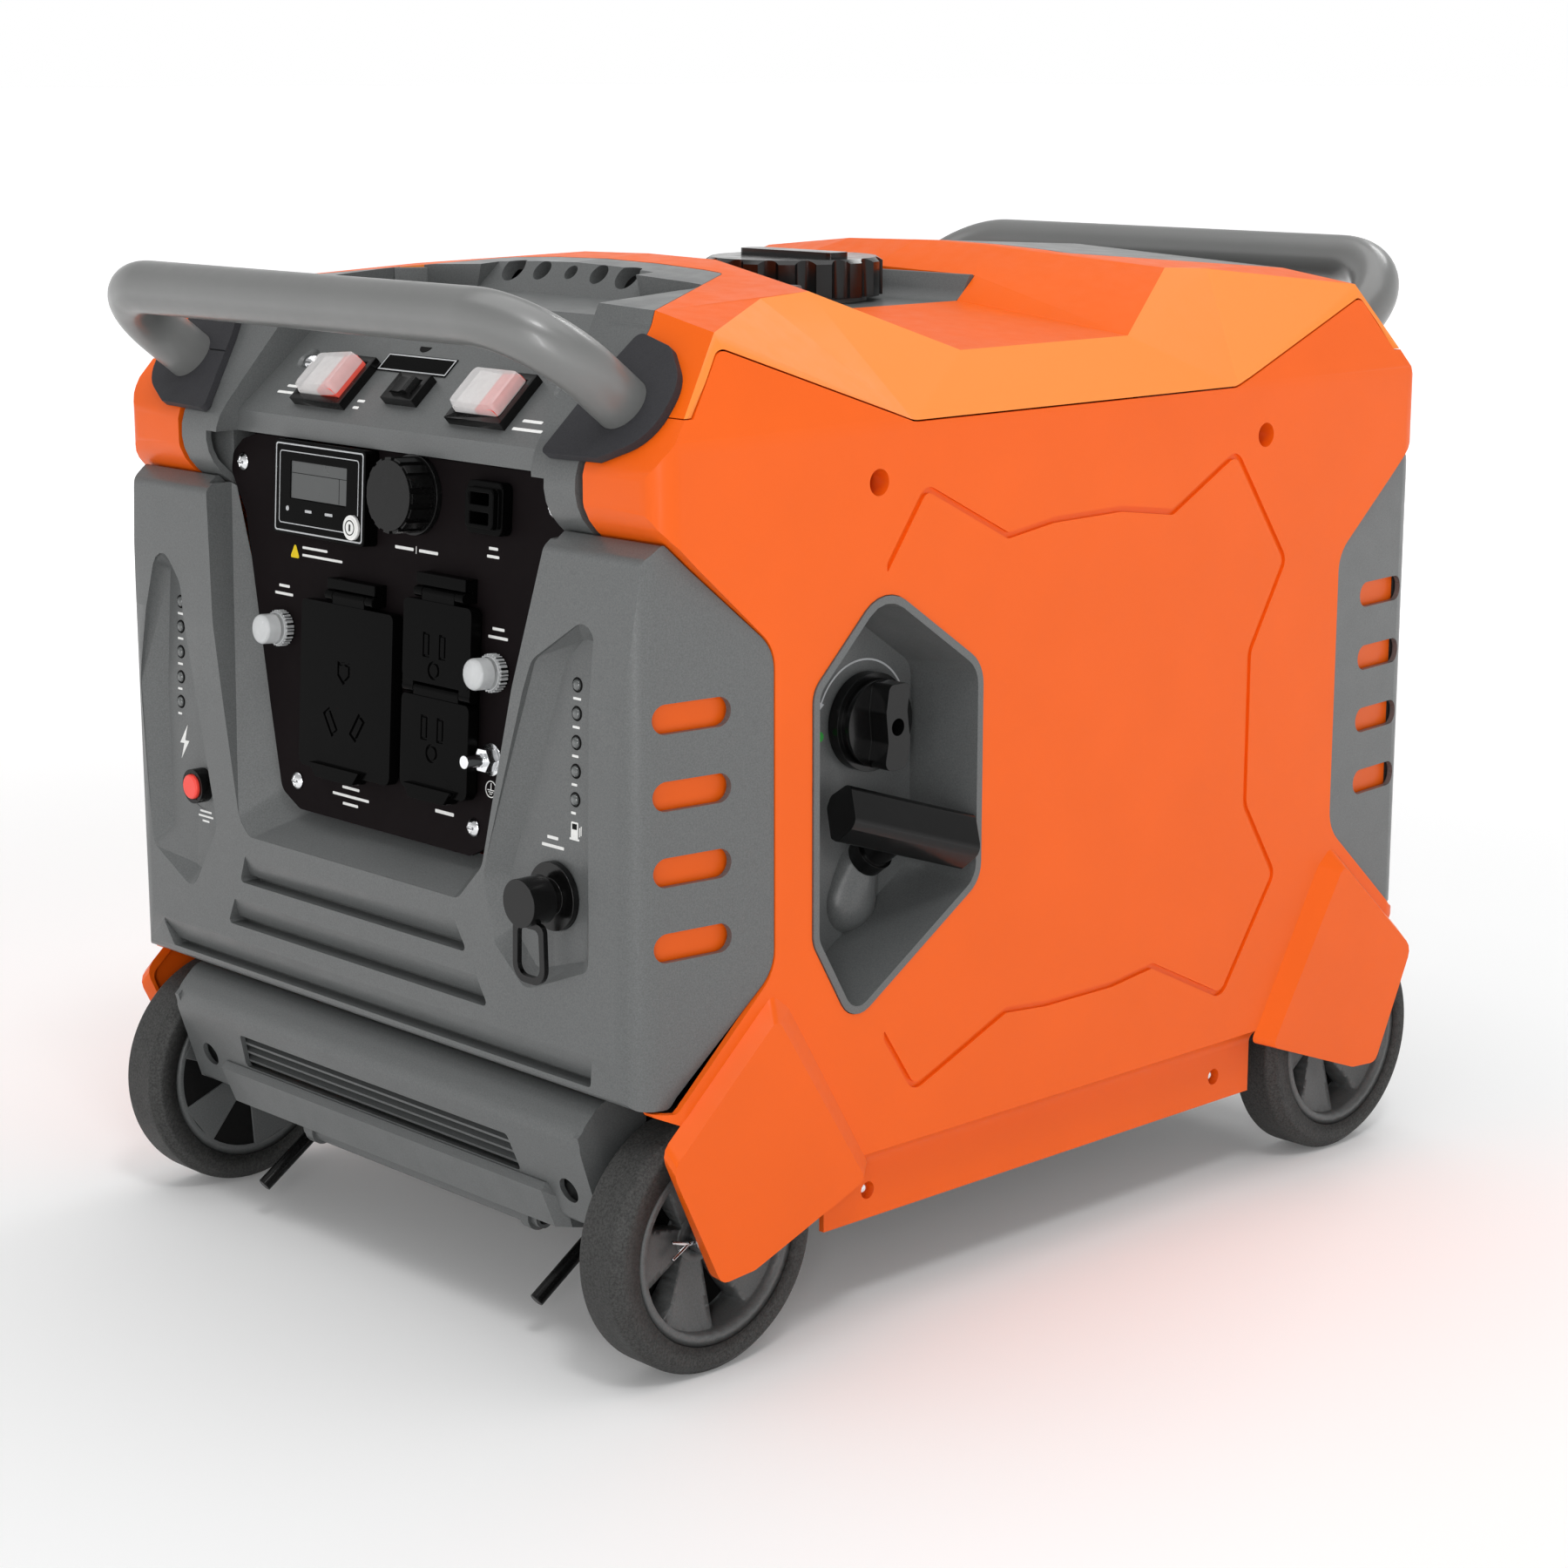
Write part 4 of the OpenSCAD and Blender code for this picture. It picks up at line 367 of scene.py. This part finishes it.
# Each tall rocker is red, with its near-white -X side a painted reflection of the boot's sheen.
for name, centre in (("engine_rocker", -ROCKER_X), ("start_rocker", ROCKER_X)):
    paint(nodes[name], red_with_painted_reflection(name, srgb(222, 219, 217), srgb(238, 88, 72), centre + 1, 0.35))

# ------------------------------------------------------------------ local frames, in millimetres

def placed(at, *turns):
    """Matrix from local millimetres to metres; turns are (degrees, axis), in the CAD's order."""
    matrix = Matrix.Translation(Vector(at) * MM)
    for degrees, axis in turns:
        matrix = matrix @ Matrix.Rotation(math.radians(degrees), 4, axis)
    return matrix @ Matrix.Scale(MM, 4)


# The control panel's face, the switch face and the trays of the front cover: +Z is out of the face.
PANEL = placed((0, -261.5, 200), (86.445, "X"))
SWITCHES = placed((0, -252, 408), (42, "X"))
TRAY = placed((0, -265, 215), (87.6, "X"))
# The starter pocket's floor, in the plane of Y and Z, and the axis along which the grip is pulled.
POCKET = Matrix.Translation(Vector((163, 0, 0)) * MM) @ Matrix(
    ((0, 0, 1, 0), (1, 0, 0, 0), (0, 1, 0, 0), (0, 0, 0, 1))) @ Matrix.Scale(MM, 4)
PULL = placed((168, -110, 212), (53, "Y"))


def rounded(corners, steps=5):
    """Outline through (x, y, radius) corners, each rounded by its radius."""
    out = []
    count = len(corners)
    for i, (x, y, radius) in enumerate(corners):
        p = Vector((x, y))
        if radius <= 0:
            out.append(p)
            continue
        u = (Vector(corners[i - 1][:2]) - p).normalized()
        v = (Vector(corners[(i + 1) % count][:2]) - p).normalized()
        half = math.acos(max(-1, min(1, u.dot(v)))) / 2
        centre = p + (u + v).normalized() * radius / math.sin(half)
        start = p + u * radius / math.tan(half) - centre
        end = p + v * radius / math.tan(half) - centre
        a0 = math.atan2(start.y, start.x)
        sweep = math.atan2(end.y, end.x) - a0
        sweep = (sweep + math.pi) % (2 * math.pi) - math.pi
        for k in range(steps + 1):
            a = a0 + sweep * k / steps
            out.append(centre + radius * Vector((math.cos(a), math.sin(a))))
    return out


def rectangle(x0, y0, x1, y1, radius=0.0, steps=5):
    corners = ((x0, y0), (x1, y0), (x1, y1), (x0, y1))
    return rounded([(x, y, radius) for x, y in corners], steps)


def turn(k, steps):
    """Angle of the k-th of several steps round a circle."""
    return 2 * math.pi * k / steps


def circle(x, y, radius, steps=40):
    return [Vector((x + radius * math.cos(turn(k, steps)), y + radius * math.sin(turn(k, steps))))
            for k in range(steps)]


def finish_piece(name, bm, material, body, matrix, bevel=0.0, segments=3, angle=30, smooth=True,
                 slot=None):
    """Turns a bmesh in local millimetres into a piece; body is None where the piece is left on no
    body.
    """
    bmesh.ops.recalc_face_normals(bm, faces=bm.faces)
    mesh = bpy.data.meshes.new(name)
    bm.to_mesh(mesh)
    bm.free()
    mesh.transform(matrix)
    obj = bpy.data.objects.new(name, mesh)
    bpy.context.scene.collection.objects.link(obj)
    paint(obj, materials[material])
    if bevel:
        edge = obj.modifiers.new("bevel", "BEVEL")
        edge.width = bevel * MM
        edge.segments = segments
        edge.limit_method = "ANGLE"
        edge.angle_limit = math.radians(angle)
        edge.harden_normals = True
    if smooth:
        mesh.shade_smooth()
        keep = obj.modifiers.new("normals", "WEIGHTED_NORMAL")
        keep.keep_sharp = True
        if not bevel:
            mesh.set_sharp_from_angle(angle=math.radians(angle))
    if body:
        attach(obj, body)
    return obj


def add_prism(bm, outline, z0, z1):
    """Solid between two heights over an outline."""
    low = [bm.verts.new((p.x, p.y, z0)) for p in outline]
    high = [bm.verts.new((p.x, p.y, z1)) for p in outline]
    bm.faces.new(low[::-1])
    bm.faces.new(high)
    for i in range(len(outline)):
        j = (i + 1) % len(outline)
        bm.faces.new((low[i], low[j], high[j], high[i]))


def add_band(bm, outer, inner, z0, z1):
    """Flat ring between two outlines with the same number of points."""
    edges = ((outer, z0), (outer, z1), (inner, z1), (inner, z0))
    rings = [[bm.verts.new((p.x, p.y, z)) for p in line] for line, z in edges]
    count = len(outer)
    for a, b in ((0, 1), (1, 2), (2, 3), (3, 0)):
        for i in range(count):
            j = (i + 1) % count
            bm.faces.new((rings[a][i], rings[a][j], rings[b][j], rings[b][i]))


def add_lathe(bm, profile, steps=40, at=(0, 0)):
    """Shape turned about local Z from (radius, height) points; a radius of 0 closes it."""
    rows = []
    for radius, height in profile:
        if radius < 1e-6:
            rows.append([bm.verts.new((at[0], at[1], height))])
        else:
            rows.append([bm.verts.new((p.x, p.y, height)) for p in circle(*at, radius, steps)])
    for low, high in zip(rows, rows[1:]):
        for k in range(steps):
            j = (k + 1) % steps
            ring = [low[k % len(low)], low[j % len(low)], high[j % len(high)], high[k % len(high)]]
            unique = list(dict.fromkeys(ring))
            if len(unique) > 2:
                bm.faces.new(unique)


def prism(name, outline, z0, z1, material, body, matrix, **options):
    bm = bmesh.new()
    add_prism(bm, outline, z0, z1)
    return finish_piece(name, bm, material, body, matrix, **options)


LATHE_STEPS = 48


def lathe(name, profile, material, body, matrix, at=(0, 0), **options):
    bm = bmesh.new()
    add_lathe(bm, profile, LATHE_STEPS, at)
    return finish_piece(name, bm, material, body, matrix, **options)


def prints(name, shapes, material, body, matrix, z=0.0, thick=0.12):
    """Several thin printed shapes as one piece; a pair of outlines is a ring."""
    bm = bmesh.new()
    for outline in shapes:
        if isinstance(outline, tuple):
            add_band(bm, outline[0], outline[1], z, z + thick)
        else:
            add_prism(bm, outline, z, z + thick)
    return finish_piece(name, bm, material, body, matrix, smooth=False)


def points(*pairs):
    return [Vector(p) for p in pairs]


def bar(x0, y0, x1, y1, radius=0.4):
    """Small printed bar with soft corners."""
    return rectangle(x0, y0, x1, y1, radius, 2)


# ------------------------------------------------------------------ front cover's lights and prints

TRAY_Z = 215
LED_X = (("left", -161.3), ("right", 144.4))
LED_HEIGHTS = (310.3, 297.8, 285.1, 272.5, 260.0)
LED_LENS = [(2.55, -0.4), (2.5, 0.5), (2.0, 1.2), (1.1, 1.65), (0, 1.8)]
# Black ring round each lens: painted shade of the groove round it.
LED_SHADE_RING = [(2.6, -0.6), (2.6, 0.35), (3.15, 0.35), (3.45, -0.1), (3.45, -0.6)]
for label, x in LED_X:
    lenses, shade_rings, dashes = bmesh.new(), bmesh.new(), []
    for level, height in enumerate(LED_HEIGHTS):
        y = height - TRAY_Z
        add_lathe(lenses, LED_LENS, 24, (x, y))
        add_lathe(shade_rings, LED_SHADE_RING, 28, (x, y))
        dashes.append(bar(x - 2.6, y - 6.6, x + 2.6 - level * 0.5, y - 5.5, 0.3))
    finish_piece(label + "_level_lenses", lenses, "led_lens", "root", TRAY, angle=60)
    finish_piece(label + "_level_shade_rings", shade_rings, "gap_black", "root", TRAY, angle=40)
    prints(label + "_level_marks", dashes, "print_white", "root", TRAY)

bolt = points((-155.6, 34.0), (-162.2, 24.2), (-158.5, 24.4), (-161.0, 16.4), (-154.2, 26.0),
              (-157.8, 25.9))
prints("charge_symbol", [bolt], "print_white", "root", TRAY)
pump = [bar(142.0, 27.8, 146.7, 35.1, 0.5), rectangle(141.1, 27.0, 147.6, 27.9),
        rectangle(147.5, 29.0, 148.0, 33.0), rectangle(148.5, 29.6, 149.0, 33.8)]
prints("fuel_symbol", pump, "print_white", "root", TRAY)
prints("inlet_marks", [bar(126.0, 25.0, 133.4, 26.4, 0.3), bar(122.4, 21.2, 137.4, 22.6, 0.3)],
       "print_white", "root", TRAY)
reset_marks = [bar(-144.6, -8.0, -134.6, -7.0, 0.3), bar(-146.0, -10.4, -133.2, -9.4, 0.3),
               bar(-142.6, -12.8, -136.6, -11.8, 0.3)]
prints("reset_marks", reset_marks, "print_white", "root", TRAY)
prints("fuel_symbol_window", [bar(142.8, 31.8, 145.9, 34.3, 0.2)], "gap_black", "root", TRAY, z=0.1)

# ------------------------------------------------------------------ control panel

# Heights over the panel of the display's face, its screen and the mode button's face.
DISPLAY_FACE = 8.0
SCREEN_FACE = 7.02
MODE_FACE = 9.2
MODE_AT = (-18.5, 161.2)

outer_frame = (rectangle(-79.6, 154.4, -10.4, 196.1, 1.6),
               rectangle(-78.9, 155.1, -11.1, 195.4, 1.2))
# the inner line stops on both sides of the mode button
inner_frame = rounded([
    (-24.4, 158.2, 0), (-76.4, 158.2, 1.8), (-76.4, 192.6, 1.8), (-13.8, 192.6, 1.8),
    (-13.8, 167.0, 0), (-14.25, 167.0, 0), (-14.25, 192.15, 1.4), (-75.95, 192.15, 1.4),
    (-75.95, 158.65, 1.4), (-24.4, 158.65, 0)])
prints("display_outline", [outer_frame, inner_frame], "print_silver", "root", PANEL,
       z=DISPLAY_FACE, thick=0.1)
prints("display_screen", [rectangle(-67.4, 170.6, -23.6, 188.0)], "screen_gray", "root", PANEL,
       z=SCREEN_FACE, thick=0.5)
prints("display_segments",
       [rectangle(-67.2, 182.4, -23.8, 182.7), rectangle(-29.6, 170.8, -29.3, 182.4)],
       "gap_black", "root", PANEL, z=7.5, thick=0.08)
display_marks = [bar(-55.4, 164.6, -50.2, 165.9, 0.3), bar(-39.6, 164.6, -33.6, 165.9, 0.3),
                 circle(-69.6, 165.4, 1.2, 12)]
prints("display_marks", display_marks, "print_silver", "root", PANEL, z=DISPLAY_FACE, thick=0.1)
prints("mode_ring", [(circle(*MODE_AT, 3.6), circle(*MODE_AT, 3.1))], "gap_black", "mode_button",
       PANEL, z=MODE_FACE, thick=0.1)
prints("mode_mark", [bar(-19.1, 159.6, -17.9, 162.8, 0.2)], "gap_black", "mode_button", PANEL,
       z=MODE_FACE, thick=0.1)

triangle = rounded([(-77.8, 141.0, 0.8), (-70.2, 141.0, 0.8), (-74.0, 148.2, 0.8)], 3)
prints("notice_triangle", [triangle], "print_yellow", "root", PANEL)
# Plain bars stand where the panel is marked.
PANEL_BARS = (
    # beside the triangle
    (-68, 146, -48, 147.2), (-68, 142.4, -36, 143.6),
    # parallel socket
    (4.6, 154.0, 18.4, 155.4), (22.6, 154.0, 36.6, 155.4),
    # USB socket
    (73.2, 160.6, 79.6, 161.9), (72.0, 157.0, 80.6, 158.3),
    # left and right breakers
    (-86.4, 126.0, -77.8, 127.3), (-89.6, 122.2, -75.0, 123.5),
    (77.4, 125.2, 85.8, 126.5), (74.6, 121.4, 88.4, 122.7),
    # RV and household outlets
    (-32.0, 36.2, -18.6, 37.5), (-39.6, 32.2, -11.0, 33.5), (-31.4, 28.4, -19.4, 29.7),
    (39.6, 36.4, 53.4, 38.0),
)
divider = rectangle(20.2, 153.0, 20.6, 156.4)
prints("panel_marks", [bar(*corners) for corners in PANEL_BARS] + [divider], "print_white", "root",
       PANEL)
earth = [(circle(79.6, 53.4, 3.9), circle(79.6, 53.4, 3.45)), rectangle(79.35, 53.2, 79.85, 56.2),
         rectangle(77.2, 52.8, 82.0, 53.2), rectangle(77.9, 51.9, 81.3, 52.3),
         rectangle(78.7, 51.0, 80.5, 51.4)]
prints("earth_symbol", earth, "print_white", "root", PANEL)

# ------------------------------------------------------------------ breakers

# Clear caps over the two breakers: a hollow thimble, with the button's stem inside.
RESET_X, RESET_Y = 81.5, 106.5
THIMBLE = [(6.9, 6.9), (7.2, 7.0), (7.2, 13.0), (6.7, 14.1), (5.6, 14.5), (0, 14.55), (0, 13.6),
           (5.2, 13.5), (6.0, 12.9), (6.2, 12.4), (6.2, 7.0), (6.9, 6.9)]
STEM = [(0, -7), (2.9, -7), (2.9, 8.4), (4.6, 8.8), (4.6, 11.4), (4.0, 12.2), (0, 12.4)]
# the collar is hollow above its floor, so that the cap can be pressed into it
COLLAR = [(3.1, 0.2), (8.0, 0.2), (8.0, 5.2), (7.8, 5.5), (7.4, 5.5), (7.4, 4.1), (3.1, 4.1),
          (3.1, 0.2)]
KNURLS = 28
KNURL_IN, KNURL_OUT = 7.5, 8.75
for side, label in ((-1, "left"), (1, "right")):
    body = label + "_reset_cap"
    centre = Vector((side * RESET_X, RESET_Y))
    cap = lathe(label + "_reset_thimble", THIMBLE, "clear_cap", body, PANEL, at=centre, angle=50)
    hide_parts(body)
    lathe(label + "_reset_stem", STEM, "white_button", body, PANEL, at=centre, angle=50)
    knurl = bmesh.new()
    for k in range(KNURLS):
        a = turn(k, KNURLS)
        u, v = Vector((math.cos(a), math.sin(a))), Vector((-math.sin(a), math.cos(a)))
        tooth = [u * KNURL_IN - v * 0.5, u * KNURL_OUT - v * 0.36,
                 u * KNURL_OUT + v * 0.36, u * KNURL_IN + v * 0.5]
        add_prism(knurl, [centre + p for p in tooth], 0.6, 4.6)
    finish_piece(label + "_reset_knurl", knurl, "clear_cap", "root", PANEL, bevel=0.15, segments=2)
    lathe(label + "_reset_collar", COLLAR, "clear_cap", "root", PANEL, at=centre, angle=40)

# ------------------------------------------------------------------ switches

BOOT_HALF_W, BOOT_HALF_H = 15.9, 11.3
# (height over the rocker's pin, growth of the outline) from the boot's foot to its top
BOOT_RINGS = ((5.2, 0.0), (6.0, 0.0), (10.0, -0.4), (11.8, -0.8), (12.6, -2.0))


def boot(name, x, body, tilt):
    """Clear boot moulded over a rocker, tapered and soft at its edges."""
    bm = bmesh.new()
    rings = []
    for z, grow in BOOT_RINGS:
        half_w, half_h = BOOT_HALF_W + grow, BOOT_HALF_H + grow
        outline = rectangle(-half_w, -half_h, half_w, half_h, 2.2, 4)
        rings.append([bm.verts.new((p.x, p.y, z)) for p in outline])
    count = len(rings[0])
    for a, b in zip(rings, rings[1:]):
        for i in range(count):
            j = (i + 1) % count
            bm.faces.new((a[i], a[j], b[j], b[i]))
    bm.faces.new(rings[-1])
    matrix = SWITCHES @ Matrix.Translation((x, ROCKER_ROW, ROCKER_PIN))
    matrix = matrix @ Matrix.Rotation(math.radians(tilt), 4, "Y")
    return finish_piece(name, bm, "boot_clear", body, matrix, angle=38)


boot("engine_boot", -ROCKER_X, "engine_rocker", -7)
boot("start_boot", ROCKER_X, "start_rocker", 0)

LABEL_FACE = 0.5


def label_outline(inset):
    """Outline of the blank label, drawn in by inset."""
    return rectangle(-39.6 + inset, 33.6 + inset, 12.4 - inset, 44.6 - inset)


prism("label_plate", label_outline(0), 0.0, LABEL_FACE, "satin_black", "root", SWITCHES, bevel=0.15)
prints("label_border", [(label_outline(0.5), label_outline(1.2))], "print_silver", "root", SWITCHES,
       z=LABEL_FACE, thick=0.08)
# Flat dark half-ellipse where the drain notch is: painted shade of its hollow.
half_turn = [math.pi + math.pi * k / 12 for k in range(13)]
notch_shade = [Vector((-17.5 + 4.2 * math.cos(a), 50.6 + 3.4 * math.sin(a))) for a in half_turn]
prism("drain_notch_shade", notch_shade, -0.3, 0.08, "gap_black", "root", SWITCHES)
switch_marks = [
    bar(-95.6, 17.4, -87.2, 18.9), bar(-99.6, 13.2, -84.2, 14.7),
    bar(-35.6, 13.4, -30.2, 14.9), bar(-35.2, 9.2, -31.0, 10.7),
    bar(86.0, 13.6, 99.6, 15.2), bar(83.2, 8.6, 103.6, 10.2)]
prints("switch_marks", switch_marks, "print_white", "root", SWITCHES)

# Rims that close the console's rear corners beside the switch recess.
RIM = ((110.4, -162.7), (101.1, -148.2), (99.6, -149.2), (108.9, -163.7))
rims = bmesh.new()
for side in (-1, 1):
    add_prism(rims, [Vector((side * x, y)) for x, y in RIM], 460.5, 472.3)
finish_piece("console_rims", rims, "gray_plastic", "root", Matrix.Scale(MM, 4), bevel=0.4,
             slot="gray_plastic")

# ------------------------------------------------------------------ handles

SLOPE = placed((0, -249.1, 431.2), (52, "X"))
MIRROR_Y = Matrix.Scale(-1, 4, (0, 1, 0))
# Half the distance between the legs, height of the bar, bend radius and tube radius.
LEG, REACH, BEND, TUBE = 162.0, 60.0, 40.0, 12.5
TUBE_STEPS, BEND_STEPS = 56, 16


def close_tube(bm, rows):
    """Walls between rows of points, and a face at each end."""
    count = len(rows[0])
    for low, high in zip(rows, rows[1:]):
        for q in range(count):
            j = (q + 1) % count
            bm.faces.new((low[q], low[j], high[j], high[q]))
    bm.faces.new(rows[0][::-1])
    bm.faces.new(rows[-1])


def handle_sweep(name, node_name, matrix):
    """Seamless tube of the handle: two legs, two bends and the bar, as in the CAD."""
    path = [((-LEG, -4.0), 0.0), ((-LEG, 8.0), 0.0)]
    for k in range(BEND_STEPS + 1):
        a = math.pi / 2 * k / BEND_STEPS
        path.append(((-LEG + BEND - BEND * math.cos(a), REACH - BEND + BEND * math.sin(a)), a))
    path += [((x, REACH), math.pi / 2) for x in (-60.0, 0.0)]
    path += [((-x, z), math.pi - a) for (x, z), a in path[-3::-1]]
    bm = bmesh.new()
    rows = []
    for (x, z), a in path:
        middle, across = Vector((x, 0, z)), Vector((-math.cos(a), 0, math.sin(a)))
        rows.append([
            bm.verts.new(middle + TUBE * (math.cos(t) * across + math.sin(t) * Vector((0, 1, 0))))
            for t in (turn(q, TUBE_STEPS) for q in range(TUBE_STEPS))])
    close_tube(bm, rows)
    piece = finish_piece(name, bm, "handle_tube", "root", matrix, angle=60, slot="handle_tube")
    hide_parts(node_name)


handle_sweep("front_handle_tube", "front_handle", SLOPE)
handle_sweep("rear_handle_tube", "rear_handle", MIRROR_Y @ SLOPE)

# ------------------------------------------------------------------ starter pocket

# Arrow round the fuel selector, and the dot at its open position.
ARC_CENTRE = Vector((-107, 276))
ARC_RADIUS, ARC_HALF_WIDTH = 28.5, 0.45
ARC_FROM, ARC_SWEEP, ARC_STEPS = 22, 134, 24


def arc(radius):
    angles = [math.radians(ARC_FROM + ARC_SWEEP * k / ARC_STEPS) for k in range(ARC_STEPS + 1)]
    return [ARC_CENTRE + radius * Vector((math.cos(a), math.sin(a))) for a in angles]


before_tip, tip = arc(ARC_RADIUS)[-2:]
down = (tip - before_tip).normalized()
side = Vector((-down.y, down.x))
shaft = arc(ARC_RADIUS + ARC_HALF_WIDTH) + arc(ARC_RADIUS - ARC_HALF_WIDTH)[::-1]
arrowhead = [tip + side * 2.0, tip - side * 2.0, tip + down * 4.2]
prints("selector_arc", [shaft, arrowhead], "print_silver", "root", POCKET)
prints("selector_dot", [circle(-134, 272, 2.4, 24)], "print_green", "root", POCKET)

# ------------------------------------------------------------------ starter rope

STRANDS, STRAND_STEPS, STRAND_AROUND = 3, 60, 8
ROPE_PITCH = 9.0


def twisted_rope(low, high, lay, strand_radius):
    """Three strands laid round the pull's axis from low to high."""
    bm = bmesh.new()
    around = circle(0, 0, strand_radius, STRAND_AROUND)
    for strand in range(STRANDS):
        rows = []
        for k in range(STRAND_STEPS + 1):
            z = low + (high - low) * k / STRAND_STEPS
            a = 2 * math.pi * (z / ROPE_PITCH + strand / STRANDS)
            centre = Vector((lay * math.cos(a), lay * math.sin(a), z))
            rows.append([bm.verts.new(centre + p.to_3d()) for p in around])
        close_tube(bm, rows)
    return bm


rope_piece = finish_piece("starter_rope_strands", twisted_rope(-30, 12, 1.0, 1.25), "rope_white",
                          "starter_grip", PULL, angle=60, slot="rope_white")
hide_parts("starter_rope")
# the length of rope that runs out of the guide as the grip is pulled
run = finish_piece("starter_rope_run", twisted_rope(-29, 6, 0.9, 1.1), "rope_white", None, PULL,
                   angle=60, slot="rope_white")
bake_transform(run)
guide_ring = [(2.9, 0.1), (6.2, 0.1), (6.6, 0.5), (6.2, 0.9), (3.2, 0.9), (2.9, 0.5), (2.9, 0.1)]
lathe("rope_guide_ring", guide_ring, "print_silver", "root", PULL, angle=40)

# ------------------------------------------------------------------ wheels

AXLE_X, AXLE_Y, AXLE_Z = 180, 226, 60
WHEELS = (("front_right_wheel", 1, -1), ("front_left_wheel", -1, -1),
          ("rear_right_wheel", 1, 1), ("rear_left_wheel", -1, 1))
BLADES = 5


def ring(inner, outer, low, high):
    """Profile of a flat ring."""
    return [(inner, low), (outer, low), (outer, high), (inner, high), (inner, low)]


for name, x, y in WHEELS:
    # local +Z points away from the machine; all of this is on the wheel's inner side
    matrix = placed((x * AXLE_X, y * AXLE_Y, AXLE_Z), (90 * x, "Y"))
    # Dark rings behind the blades: painted shade, so that the hub looks deep.
    lathe(name + "_hub_shade_disc", ring(11.2, 41.0, -9.6, -9.0), "gap_black", name, matrix, angle=40)
    lathe(name + "_recess", ring(11.4, 41.5, -12.5, -12.1), "gap_black", name, matrix, angle=40)
    blades = bmesh.new()
    for k in range(BLADES):
        a = math.radians(90 + 360 / BLADES * k)
        along, across = Vector((math.cos(a), math.sin(a))), Vector((-math.sin(a), math.cos(a)))
        blade = [along * 8 - across * 4.5, along * 41.2 - across * 13,
                 along * 41.2 + across * 13, along * 8 + across * 4.5]
        add_prism(blades, blade, -13.5, -12.3)
    finish_piece(name + "_blades", blades, "hub_plastic", name, matrix, bevel=0.5,
                 slot="hub_plastic")
    boss = [(6.2, -14.0), (11.6, -14.0), (12.4, -13.4), (12.4, -12.2), (6.2, -12.2), (6.2, -14.0)]
    lathe(name + "_boss", boss, "hub_plastic", name, matrix, angle=40, slot="hub_plastic")

# ------------------------------------------------------------------ stage

add_camera()

# White surroundings, brightest at the horizon.
HORIZON, ZENITH = 1.0, 0.45
world = bpy.data.worlds.new("world")
bpy.context.scene.world = world
world.use_nodes = True
tree = world.node_tree
background = tree.nodes["Background"]
background.inputs["Color"].default_value = (1, 1, 1, 1)
where = tree.nodes.new("ShaderNodeTexCoord")
split = tree.nodes.new("ShaderNodeSeparateXYZ")
tree.links.new(where.outputs["Generated"], split.inputs["Vector"])
strength = tree.nodes.new("ShaderNodeMapRange")
strength.interpolation_type = "SMOOTHSTEP"
strength.inputs["From Min"].default_value = 0.05
strength.inputs["From Max"].default_value = 0.6
strength.inputs["To Min"].default_value = HORIZON
strength.inputs["To Max"].default_value = ZENITH
tree.links.new(split.outputs["Z"], strength.inputs["Value"])
tree.links.new(strength.outputs["Result"], background.inputs["Strength"])

# White floor that glows more with distance, so that it runs into the background.
FLOOR_HALF = 60
GLOW_FROM, GLOW_TO = 0.7, 2.6
GLOW_NEAR, GLOW_FAR = 0.06, 0.6
corners = [(-FLOOR_HALF, -FLOOR_HALF, 0), (FLOOR_HALF, -FLOOR_HALF, 0),
           (FLOOR_HALF, FLOOR_HALF, 0), (-FLOOR_HALF, FLOOR_HALF, 0)]
floor_mesh = bpy.data.meshes.new("floor")
floor_mesh.from_pydata(corners, [], [(0, 1, 2, 3)])
floor = bpy.data.objects.new("floor", floor_mesh)
bpy.context.scene.collection.objects.link(floor)
surface = Surface("floor", (0.9, 0.9, 0.9, 1), 0.7, specular=0.1)
surface.set("Emission Color", (1, 1, 1, 1))
distance = surface.nodes.new("ShaderNodeVectorMath")
distance.operation = "LENGTH"
surface.links.new(surface.coordinates.outputs["Object"], distance.inputs[0])
glow = surface.ramp(distance.outputs["Value"], GLOW_FROM, GLOW_TO, GLOW_NEAR, GLOW_FAR, smooth=True)
surface.links.new(glow, surface.shader.inputs["Emission Strength"])
surface.bump(surface.noise(40, 2), 0.02)
paint(floor, surface.material)

# name, place, aim, width, height, watts
area_light("key", (1.6, -1.0, 2.8), (0, 0, 0.2), 0.5, 0.5, 15)
area_light("overhead", (0, 0, 3.2), (0, 0, 0), 3.6, 3.6, 50)
area_light("sheen", (-0.6, 2.6, 2.6), (0, 0, 0.35), 1.2, 0.6, 14)
area_light("edge", (2.3, -2.6, 0.7), (0.1, -0.2, 0.25), 0.22, 1.8, 21)

bpy.context.scene.view_settings.view_transform = "Standard"
